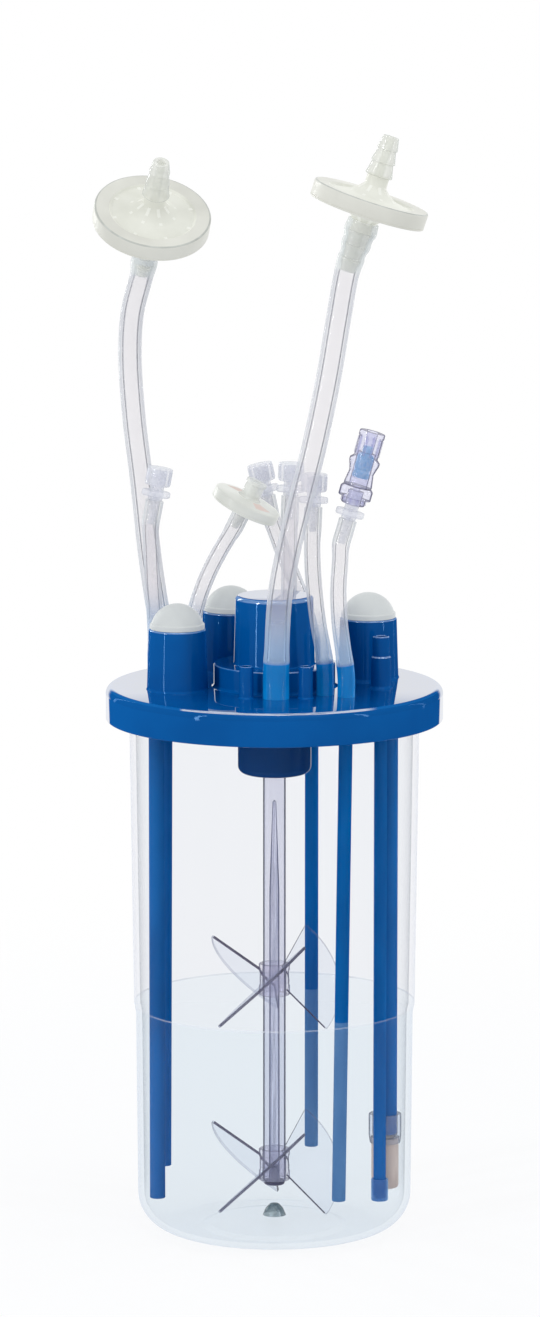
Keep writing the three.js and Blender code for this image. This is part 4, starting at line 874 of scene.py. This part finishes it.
onPlate = [
    # towers, gas port, open posts and the probe's holder: profile from the plate's top, places, sides, closed,
    # steps, finish of each stretch
    ([(6.0, -9.0), (8.5, -9.0, 0.4), (8.5, -2.5), (13.4, -0.6), (12.8, 0.8, 0.6), (12.0, 25.7, 0.8),
      (6.0, 25.7, 0.5)], towerSites.values(), 96, True, 6, cornerMark),
    ([(1.9, -1.0), (5.8, -1.0), (4.2, 0.9, 0.9), (4.2, 13.0, 0.35), (3.6, 13.5, 0.2), (3.6, 21.9, 0.5),
      (1.9, 21.9, 0.4)], [gasSite], 56, True, 5, cornerMark),
    ([(0, 1.5), (2.05, 1.5), (2.05, 13.5, 0.2), (2.95, 13.5, 0.3), (2.95, 0.6, 0.7), (4.05, -0.6), (0, -1.0)],
     postSites, 48, False, 5, cornerMark),
    ([(0, -10.5), (3.8, -10.5, 0.4), (3.8, -3.0), (0, -3.0)], [probeSite], 40, False, 5, None),
]
for spot, radius, *rest in dipPlan.values():
    inner, high = radius + seatGap, plateUnder - plateTop + 1
    outer, low = inner + head.ringWidth, high - 1 - head.ringDepth
    outline = [(inner, low), (outer, low, 0.3), (outer, high), (inner, high)]
    onPlate.append((outline, [spot], 48, True, 3, None))


def makePlate():
    bore = head.towerBore
    bm = bmesh.new()
    cutter = bmesh.new()
    turned(bm, plateOutline(), 180, steps=7, marker=plateMark)
    for spot in towerSites.values():
        turned(cutter, [(0, 200), (bore, 200), (bore, 240), (0, 240)], 64, shift(*spot))
    disc = carved(bm, cutter, plateLooks)
    bm = bmesh.new()
    gather(bm, disc, plateLooks)
    for outline, spots, sides, *rest in onPlate:
        for spot in spots:
            turned(bm, outline, sides, shift(*spot, plateTop), *rest)
    for spot, barb in barbSites.values():
        turnBarb(bm, barb, shift(*spot, plateTop))
    bm.normal_update()
    for face in bm.faces:
        if face.normal.z > 0.98 and face.material_index in (0, 4):
            face.material_index = 2
    makePiece("head_plate_moulding", bm, plateLooks, "head_plate")


makePlate()
print("head plate made")


# ------- port caps

portCap = Sizes(
    collar=11.5, collarHeight=2.0, dome=10.9, domeHeight=8.3, plug=5.7, seat=-0.27,
    bore=3.6, length=12.0,
)


def makePortCap(side, spot):
    collar, height, crown, rise, plug, seat, bore, length = portCap.values()
    sphere = (crown**2 + rise**2) / (2 * rise)
    start = math.degrees(math.asin((sphere - rise) / sphere))
    place = shift(*spot, plateTop + head.towerHeight + seatGap)
    node = "port_cap_" + side
    makeTurned(node + "_dome", node, "capWhite", "cap_white", [
        (0, 0.5), (bore, 0, 0.5), (bore, -length, 0.4), (plug, -length, 0.8), (plug, seat, 0.3),
        (collar, seat, 0.3), (collar, height - 0.2, 0.5), (crown, height, 0.15),
        *dome(0, height + rise - sphere, sphere, start + 4, 90),
    ], 80, place, body=side + "_port_cap")


for side, spot in towerSites.items():
    makePortCap(side, spot)
print("port caps made")


# ------- drive

housing = Sizes(
    radius=15.5, bottom=195.5, top=228.7, wall=2.6, edge=3.4, floor=3.4, bore=5.3,
    seat=8.4, bearing=5.0, flangeWidth=2.9, flange=2.6,
)
shaft = Sizes(
    radius=4.8, bottom=19.067, collar=6.6, collarBottom=204.5, collarHeight=2.4, journal=3.0,
    journalBottom=263.9, journalTop=267.7, core=2.3, coreTip=0.8, coreStraight=126.0,
    coreTaper=38.0,
)
blade = Sizes(
    count=3, thickness=1.2, bevel=0.22, reach=28.0, pitch=44.0, bearing=13.0, rootHalf=6.0,
    tipReach=18.0, tipHalf=26.8, round=2.2, hubBore=5.1, hub=6.6, hubHeight=13.5,
    heights={"lower_impeller": 26.217, "upper_impeller": 106.717},
)


def makeHousing():
    radius, bottom, top, wall, edge, floor, bore, seat, bearing, wider, flange = housing.values()
    inner, floorTop = radius - wall, bottom + floor
    makeTurned("bearing_housing_shell", "bearing_housing", "housingBlue", "deep_blue", [
        (bore, bottom, 0.4), (radius, bottom, edge), (radius, top - flange),
        (radius + wider, top - flange, 0.4), (radius + wider, top, 0.4), (inner, top),
        (inner, floorTop + bearing), (seat, floorTop + bearing), (seat, floorTop), (bore, floorTop),
    ], 112, closed=True, steps=8)


def makeShaft():
    s, radius, bottom, core, collar = shaft, shaft.radius, shaft.bottom, shaft.core, shaft.collar
    straight = bottom + s.coreStraight
    tip = straight + s.coreTaper
    low, top = s.collarBottom, s.collarBottom + s.collarHeight
    bm = bmesh.new()
    turned(bm, [
        (0, tip + s.coreTip), (s.coreTip, tip, 0.6), (core * 0.92, straight, 20), (core, bottom, 0.2),
        (radius, bottom, 0.4), (radius, low), (collar, low, 0.3), (collar, top, 0.3), (radius, top),
        (radius, s.journalBottom, 0.4), (s.journal, s.journalBottom),
        (s.journal, s.journalTop, 0.5), (0, s.journalTop),
    ], 72, steps=6, marker=lambda p, q: int(q.x < core + 0.3 and q.y < low))
    looks = ("shaftOuter", "shaftBore")
    makePiece("stirrer_shaft", bm, looks, "drive_shaft", body="stirrer")
    top = bottom - seatGap
    makeTurned("shaft_foot_plug", "shaft_end_plug", "plugGrey", "plug_grey", [
        (0, top - 1.3), (4.4, top - 1.3, 0.6), (4.4, top, 0.3), (1.95, top), (1.95, top + 7, 0.3),
        (0, top + 7),
    ], 48, body="stirrer")


def bladeOutline():
    b = blade
    outerX, outerY = b.tipReach + b.round / 2, b.tipHalf - b.round / 2
    sagitta = b.reach - outerX
    radius = (outerY**2 + sagitta**2) / (2 * sagitta)
    half = math.degrees(math.asin(outerY / radius))
    arc = dome(b.reach - radius, 0, radius, -half, half, 32)
    root = []
    for k in range(9):
        y = b.rootHalf * (1 - k / 4)
        root.append((math.sqrt((b.hub - 0.5) ** 2 - (y * math.cos(math.radians(b.pitch))) ** 2), y))
    lower = rounded([root[-1], (b.tipReach, -b.tipHalf, b.round), arc[0]], steps=6)
    upper = rounded([arc[-1], (b.tipReach, b.tipHalf, b.round), root[0]], steps=6)
    return [Vector(p) for p in (*root[:-1], *lower, *arc[1:-1], *upper[:-1])]


def bladeShape():
    # one blade with a small bevel round its outline, laid in X and the pitched chord
    outline = bladeOutline()
    half, bevel, middle = blade.thickness / 2, blade.bevel, Vector((16.0, 0.0))
    bm = bmesh.new()
    edge = bm.faces.layers.float.new("edge")
    rings = []
    for inset, z in ((bevel, -half), (0, bevel - half), (0, half - bevel), (bevel, half)):
        rings.append([bm.verts.new((*(p - (p - middle).normalized() * inset), z)) for p in outline])
    for number, face in enumerate(shut(bm, rings)):
        # the two straight sides get a painted dark edge, the round end a fainter one
        here, after = (outline[(number + k) % len(outline)] for k in (0, 1))
        face[edge] = float((here.x + after.x) / 2 < blade.tipReach - 1)
    bm.transform(Matrix.Rotation(math.radians(blade.pitch), 4, "X"))
    return bm


def makeImpeller(node, z):
    looks = ("hubTint", "bladeFace", "bladeEdge", "bladeTip")
    bore, hub, half = blade.hubBore, blade.hub, blade.hubHeight / 2
    bm = bmesh.new()
    turned(bm, [
        (bore, -half), (hub, -half, 0.4), (hub, 4 - half, 0.3), (hub - 0.35, 4.2 - half, 0.2),
        (hub - 0.35, half - 3, 0.2), (hub, half - 2.8, 0.2), (hub, half, 0.4), (bore, half),
    ], closed=True, steps=3)
    gather(bm, ringOf(bladeShape(), blade.count, blade.bearing, "bladeFace", "bladeEdge"), looks)
    # small faces at the round end take bladeTip, the fainter painted edge
    for face in bm.faces:
        if face.material_index == 1 and face.calc_area() < 20:
            face.material_index = 3
    bm.transform(shift(0, 0, z))
    makePiece(node + "_clear", bm, looks, node, 28, "stirrer")


makeHousing()
makeShaft()
for node, z in blade.heights.items():
    makeImpeller(node, z)
print("drive made")


# ------- dip tubes, gas tube and probe

def makeDipTube(node, spot, radius, wall, end, lean, look):
    top = plateUnder - 1 - seatGap
    slope = lean / (top - end)
    leaning = Matrix(((1, 0, -slope, slope * top), (0, 1, 0, 0), (0, 0, 1, 0), (0, 0, 0, 1)))
    outline = [(radius - wall, end, 0.2), (radius, end, 0.3), (radius, top), (radius - wall, top)]
    makeTurned(node + "_stem", node, look, "tube_blue", outline, 56, shift(*spot) @ leaning, True, 3, 40)


for node, values in dipPlan.items():
    makeDipTube(node, *values)

sleeveTop = plateUnder - seatGap
probeParts = {
    # node, finish, slot, profile, sides, place, closed, steps, angle of a sharp edge
    "probe_sleeve_stem": (
        "probe_sleeve", "tubeBlue", "tube_blue",
        [(4.1, 38.6), (5.1, 38.6, 0.3), (5.1, sleeveTop), (4.1, sleeveTop)],
        72, shift(*probeSite), True, 3, 40,
    ),
    "probe_collar_clear": (
        "probe_collar", "collarClear", "collar_clear",
        [(6.1, 34.6), (6.5, 34.6, 0.2), (7.0, 38.0, 0.6), (7.0, 47.2, 0.5), (5.4, 47.2, 0.3), (5.4, 38.3),
         (4.1, 38.3), (4.1, 37.0), (6.1, 37.0)],
        72, shift(*probeSite), True, 4, 35,
    ),
    "probe_tip_membrane": (
        "probe_tip", "tipBrown", "probe_membrane",
        [(0, 15.0), (5.8, 15.0, 1.2), (5.8, 36.7, 0.3), (0, 36.7)],
        64, shift(*probeSite), False, 5, 35,
    ),
    "sparger_tip_clear": (
        "sparger_tip", "spargerClear", "sparger_clear",
        [(0.8, 11.7), (3.65, 11.7, 0.5), (3.65, 21.1, 0.25), (2.95, 21.1, 0.2), (2.95, 12.9, 0.3), (0.8, 12.9)],
        56, shift(*gasSite), True, 4, 35,
    ),
}
for name, values in probeParts.items():
    makeTurned(name, *values)
print("dip tubes and probe made")


# ------- disc filters

vent = Sizes(
    radius=24.5, half=3.55, edge=0.8, rimWidth=6.2, rimFall=0.3, dishWall=0.8, dishZ=2.0,
    coneRadius=10.0, coneZ=3.7, clamp=3.2, inset=2.7, chamber=1.3, bore=1.8, lap=2.7,
    lapWall=0.5, ribs=8, ribWidth=1.3, ribRise=0.3, ribRoot=9.6, clearFrom=10.5,
)
sterile = Sizes(
    radius=14.8, half=2.3, edge=0.8, cone=5.4, coneZ=3.2, inlet=4.1, rise=4.0,
    height=3.8, flange=0.5, flangeHeight=1.6, bore=2.05, clamp=2.0, inset=1.6,
    chamber=0.9, lap=1.5, lapWall=0.4,
)


def frameOf(tube):
    # where the tube's filter or fitting sits, with +Z along its axis
    turnBy = Vector((0, 0, 1)).rotation_difference(Vector(routes[tube].axis))
    return Matrix.Translation(abovePlate(routes[tube].at)) @ turnBy.to_matrix().to_4x4()


def shellStart(size, bore, outer):
    # the chamber and the rim's edge, where the outer shell laps over the inner one
    radius, lap, inside = size.radius, size.lap, size.radius - size.lapWall
    chamber = radius - size.clamp - size.inset
    pocket = radius - size.clamp + seatGap
    x, z, end, corner = inside - 0.1, lap + 0.08, radius - 0.05, 0.1
    if outer:
        x, z, end, corner = inside, -lap, radius, 0.15
    return [
        (bore, size.chamber), (chamber, size.chamber), (chamber, 0.45), (pocket, 0.45), (pocket, 0.15),
        (x, 0.15), (x, z), (end, z, corner), (radius, size.half, size.edge),
    ]


def ventOutline(outer):
    v, radius, tip = vent, nozzle.neck, nozzle.tip
    rim = v.radius - v.rimWidth
    points = [
        *shellStart(v, v.bore, outer), (rim, v.half - v.rimFall, 0.7),
        (rim - v.dishWall, v.dishZ, 0.8), (v.coneRadius, v.coneZ, 6), (radius, 7.4, 3),
    ]
    for z, lip, behind in nozzle.steps:
        points += [(radius, z, 0.15), (lip, z + 0.15, 0.3)]
        radius = behind
    return points + [(radius, tip, 0.4), (v.bore, tip, 0.3)]


def ribShape():
    # a thin gusset from the nozzle down to the rim, laid in XZ
    inside, outside = nozzle.neck - 1, vent.radius - vent.rimWidth - vent.dishWall / 2
    dish, rise, root, half = vent.dishZ, vent.ribRise, vent.ribRoot, vent.ribWidth / 2
    side = [(inside, dish - rise), (outside, dish - rise), (outside, dish + 0.35)]
    for t in (k / 8 for k in range(1, 8)):
        side.append((outside + (inside - outside) * t, dish + rise + (root - dish - 0.6) * t**2.6))
    side.append((inside, root))
    bm = bmesh.new()
    shut(bm, [[bm.verts.new((x, y, z)) for x, z in side] for y in (-half, half)])
    return bm


def makeVentShell(side, half):
    v, looks = vent, ("filterMilky", "nozzleMilky", "dishMilky", "ribMilky", "rimLine")

    def pick(p, q):
        # the nozzle, the dish, the line on the rim, the rest
        middle = (p + q) / 2
        if middle.y > v.clearFrom:
            return 1
        if middle.x < v.radius - v.rimWidth and middle.y > v.dishZ - 0.5:
            return 2
        onRim = middle.x > v.radius - v.edge and middle.y > v.half - 0.5 * v.edge
        return 4 if onRim and half == "top" else 0

    bm = bmesh.new()
    turned(bm, ventOutline(half == "top"), 128, closed=True, steps=6, marker=pick)
    gather(bm, ringOf(ribShape(), v.ribs, 22.5, "ribMilky"), looks)
    bm.transform(frameOf("vent_tube_" + side) @ (flip if half == "bottom" else Matrix()))
    node = f"vent_filter_{half}_{side}"
    return makePiece(node + "_shell", bm, looks, node, 35)


def makeSterileFilter():
    s, place = sterile, frameOf("sterile_tube")
    inlet, bore, cone = s.inlet, s.bore, s.coneZ
    looks = ("sterileMilky", "markRed", "inletClear")
    top = cone + s.rise + s.height
    low = top - s.flangeHeight
    slope = [(s.radius - 3.0, s.half + 0.3, 1.5), (s.cone, cone - 0.1, 1.0)]
    bm = bmesh.new()
    turned(bm, [
        *shellStart(s, bore, True), *slope, (inlet, cone + 1.0, 0.6), (inlet, low, 0.3),
        (inlet + s.flange, low + 0.2, 0.2), (inlet + s.flange, top, 0.3), (bore, top, 0.3),
    ], 96, closed=True, steps=4)
    for face in bm.faces:
        # two plain painted arcs on the sloping face
        x, y, z = face.calc_center_median()
        bearing = math.degrees(math.atan2(y, x)) % 180
        if 8.6 < math.hypot(x, y) < 10.9 and 2 < z < 4 and 108 < bearing < 150:
            face.material_index = 1
        if z > cone + 0.4:
            face.material_index = 2
    bm.transform(place)
    node = "sterile_filter_top"
    upper = makePiece(node + "_shell", bm, looks, node, 35)
    bm = bmesh.new()
    turned(bm, [*shellStart(s, 0.9, False), *slope, (0.9, cone, 0.2)], 96, closed=True, steps=4)
    turnBarb(bm, barbSterile, shift(0, 0, cone), lambda p, q: 2)
    bm.transform(place @ flip)
    node = "sterile_filter_bottom"
    return [upper, makePiece(node + "_shell", bm, looks, node, 35)]


fittings = {}
for side in ("left", "right"):
    fittings["vent_tube_" + side] = [makeVentShell(side, half) for half in ("top", "bottom")]
fittings["sterile_tube"] = makeSterileFilter()
print("filters made")


# ------- luer fittings, caps and valve

luer = Sizes(
    stem=[(0.9, 0), (3.1, 0, 0.3), (3.1, 3.2, 0.2), (2.95, 3.3), (2.95, 12.2, 0.3), (2.1, 12.2, 0.2),
          (2.1, 4.7, 0.3), (0.9, 4.7)],
    cap=[(0, 9.0), (1.5, 9.0, 0.4), (1.5, 12.5), (3.25, 12.5), (3.25, 6.3, 0.2), (5.2, 6.3, 0.4),
         (5.35, 13.8, 0.25), (0, 13.8)],
    # number of grips, then their radius, foot, top, half width and rise
    grips=(12, 5.225, 6.9, 12.9, 0.5, 0.25),
    wing={"width": 12.0, "depth": 7.4, "low": 1.5, "high": 4.0, "bevel": 0.35},
)
valve = Sizes(
    base=([(3.25, 6.6), (5.0, 6.6, 0.5), (5.0, 9.4, 0.2), (6.95, 9.4, 0.4), (6.95, 13.3, 0.6),
           (6.1, 14.3, 0.3), (1.5, 14.3), (1.5, 12.5), (3.25, 12.5)], (10, 4.9, 7.0, 9.4, 0.5, 0.5)),
    body=([(3.9, 14.6), (6.1, 14.6, 0.4), (5.2, 20.5, 1.5), (6.45, 24.6, 0.5), (6.45, 25.8, 0.5),
           (5.1, 27.0, 0.5), (5.1, 35.4, 0.2), (5.45, 35.75, 0.2), (5.45, 38.0, 0.5), (2.35, 38.0, 0.4),
           (2.35, 29.0, 0.3), (3.9, 29.0, 0.4)], (10, 5.0, 27.8, 35.4, 0.55, 0.4)),
    bung=[(0, 18.2), (3.6, 18.2, 0.4), (3.6, 20.0, 0.3), (3.2, 20.6, 0.4), (3.2, 21.6, 0.4),
          (3.6, 22.2, 0.3), (3.6, 27.2, 0.6), (2.05, 28.7, 0.6), (2.05, 31.6, 0.3), (0, 31.6)],
)


def wingShape():
    # finger flange with round ends
    width, depth, low, high, bevel = luer.wing.values()
    reach = (width - depth) / 2
    bm = bmesh.new()
    rings = []
    for inset, z in ((bevel, low), (0, low + bevel), (0, high - bevel), (bevel, high)):
        ring = []
        for middle, start in ((reach, -90), (-reach, 90)):
            for k in range(17):
                angle, size = math.radians(start + 180 * k / 16), depth / 2 - inset
                ring.append(bm.verts.new((middle + size * math.cos(angle), size * math.sin(angle), z)))
        rings.append(ring)
    shut(bm, rings)
    return bm


def gripShape(radius, low, high, width, rise):
    # one upright grip rib on a round wall, its back sunk in the wall
    side = ((-width, -0.3), (-width * 0.6, rise * 0.8), (0, rise), (width * 0.6, rise * 0.8), (width, -0.3))
    bm = bmesh.new()
    rings = []
    for z, share, sunk in ((low, 0.5, 0.2), (low + 0.4, 1, 0), (high - 0.4, 1, 0), (high, 0.5, 0.2)):
        rings.append([bm.verts.new((radius + x * share - sunk, y, z)) for y, x in side])
    shut(bm, rings)
    return bm


def makeGripped(name, node, look, slotName, outline, grips, tube, closed, steps, sharp, body=fixedBody):
    count, *grip = grips
    bm = bmesh.new()
    turned(bm, outline, closed=closed, steps=steps)
    gather(bm, ringOf(gripShape(*grip), count, 0, look), (look,))
    bm.transform(frameOf(tube))
    return makePiece(name, bm, (look,), node, sharp, body)


def makeLuer(tube, node):
    bm = bmesh.new()
    turnBarb(bm, barbLuer, flip)
    turned(bm, luer.stem, 48, closed=True, steps=3)
    gather(bm, asMesh(wingShape()), ("luerClear",))
    bm.transform(frameOf(tube))
    return makePiece(node + "_clear", bm, ("luerClear",), node)


for name in ("left", "back_left", "back", "middle"):
    tube = "sample_tube_" + name
    node = "luer_cap_" + name
    values = (luer.cap, luer.grips, tube, False, 5, 30, name + "_luer_cap")
    fittings[tube] = [makeLuer(tube, "luer_fitting_" + name)]
    fittings[tube].append(makeGripped(node + "_clear", node, "luerClear", "luer_clear", *values))
tube = "valve_tube"
fittings[tube] = [makeLuer(tube, "luer_fitting_valve")]
for node in ("valve_base", "valve_body"):
    values = (*valve[node[6:]], tube, True, 4, 28)
    fittings[tube].append(makeGripped(node + "_tinted", node, "valveTint", "valve_tint", *values))
bung = ("valve_bung_soft", "valve_bung", "bungBlue", "bung_blue", valve.bung)
fittings[tube].append(makeTurned(*bung, 56, frameOf(tube), False, 4, 35, "bung"))
print("luer fittings and valve made")


# ------- each tube's route and barb site, looked up once more

for name, (piece, path, total) in hoses.items():
    route = routes[name]
    (x, y), barb = barbSites[route.site]


# ------- CAD pieces that stay, inside the plate, the housing and the filters

keptNodes = {
    "sealRubber": ("seal_ring",),
    "bearingSteel": ("lower_bearing", "upper_bearing", *[f"drive_magnet_{k}" for k in (1, 2, 3, 4)]),
    "rotorWhite": ("magnet_rotor",),
    "membraneWhite": ("vent_membrane_left", "vent_membrane_right", "sterile_membrane"),
}
for look, nodes in keptNodes.items():
    for node in nodes:
        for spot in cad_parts[node].material_slots:
            spot.material = finishes[look]
print("kept CAD pieces finished:", sum(len(nodes) for nodes in keptNodes.values()))


# ------- floor, light and background

room = Sizes(
    floorReach=3.0, floorDrop=0.0004, floorFade=(0.28, 0.75), floorDark=(238, 240, 243),
    floorLight=(246, 248, 251), glow=0.86, ambient=0.62, ambientColour=(246, 249, 255),
    lamps={
        # watts, width, height, place
        "sideLeft": (9.0, 0.09, 1.3, (-1.25, -0.95, 0.7)),
        "sideRight": (6.0, 0.1, 1.2, (1.45, -0.7, 0.8)),
        "rimLeft": (6.0, 0.1, 1.2, (-1.05, 1.15, 0.6)),
        "rimRight": (2.5, 0.1, 1.2, (1.35, 0.8, 0.6)),
        "above": (8.0, 1.4, 1.2, (0.1, -0.5, 1.9)),
    },
    lampAim=(0.0, 0.0, 0.24),
)


def seenDirectly(board):
    path = board.node("ShaderNodeLightPath")
    return board.clamp(path["Is Camera Ray"] + path["Is Glossy Ray"] + path["Is Transmission Ray"])


def makeFloor():
    finish, board = newFinish("floorPale")
    away = board.node("ShaderNodeVectorMath", {"operation": "LENGTH"}, {0: board.place()}, "Value")
    shade = board.blend(board.noise(6.0, 3.0), linear(*room.floorDark), linear(*room.floorLight))
    matt = board.node("ShaderNodeBsdfDiffuse", None, {"Color": shade})
    bright = board.node("ShaderNodeEmission", None, {"Color": white, "Strength": 1.0})
    lit = board.mixShader(seenDirectly(board) * room.glow, matt, bright)
    board.finish(board.mixShader(board.step(away, *room.floorFade), lit, board.through((255, 255, 255))))
    bm = bmesh.new()
    bmesh.ops.create_circle(bm, cap_ends=True, segments=96, radius=room.floorReach)
    bm.transform(shift(0, 0, -room.floorDrop))
    mesh = asMesh(bm)
    mesh.materials.append(finish)
    addObject("pale_floor", mesh)


def makeWorld():
    scene.world = bpy.data.worlds.new("studio")
    scene.world.use_nodes = True
    board = Board(scene.world.node_tree)
    shade = linear(*room.ambientColour)
    soft = board.node("ShaderNodeBackground", None, {"Color": shade, "Strength": room.ambient})
    plain = board.node("ShaderNodeBackground", None, {"Color": white, "Strength": 1.0})
    board.finish(board.mixShader(seenDirectly(board), soft, plain), "World")


def makeLamps():
    for name, (watts, width, height, spot) in room.lamps.items():
        data = bpy.data.lights.new(name, "AREA")
        data.shape = "RECTANGLE"
        data.size = width
        data.size_y = height
        data.energy = watts
        aimAt(addObject(name, data), Vector(spot), Vector(room.lampAim))


makeFloor()
makeWorld()
makeLamps()
scene.cycles.transparent_max_bounces = 64
scene.cycles.max_bounces = 14
scene.view_settings.view_transform = "Standard"
print("floor, background and lamps set")
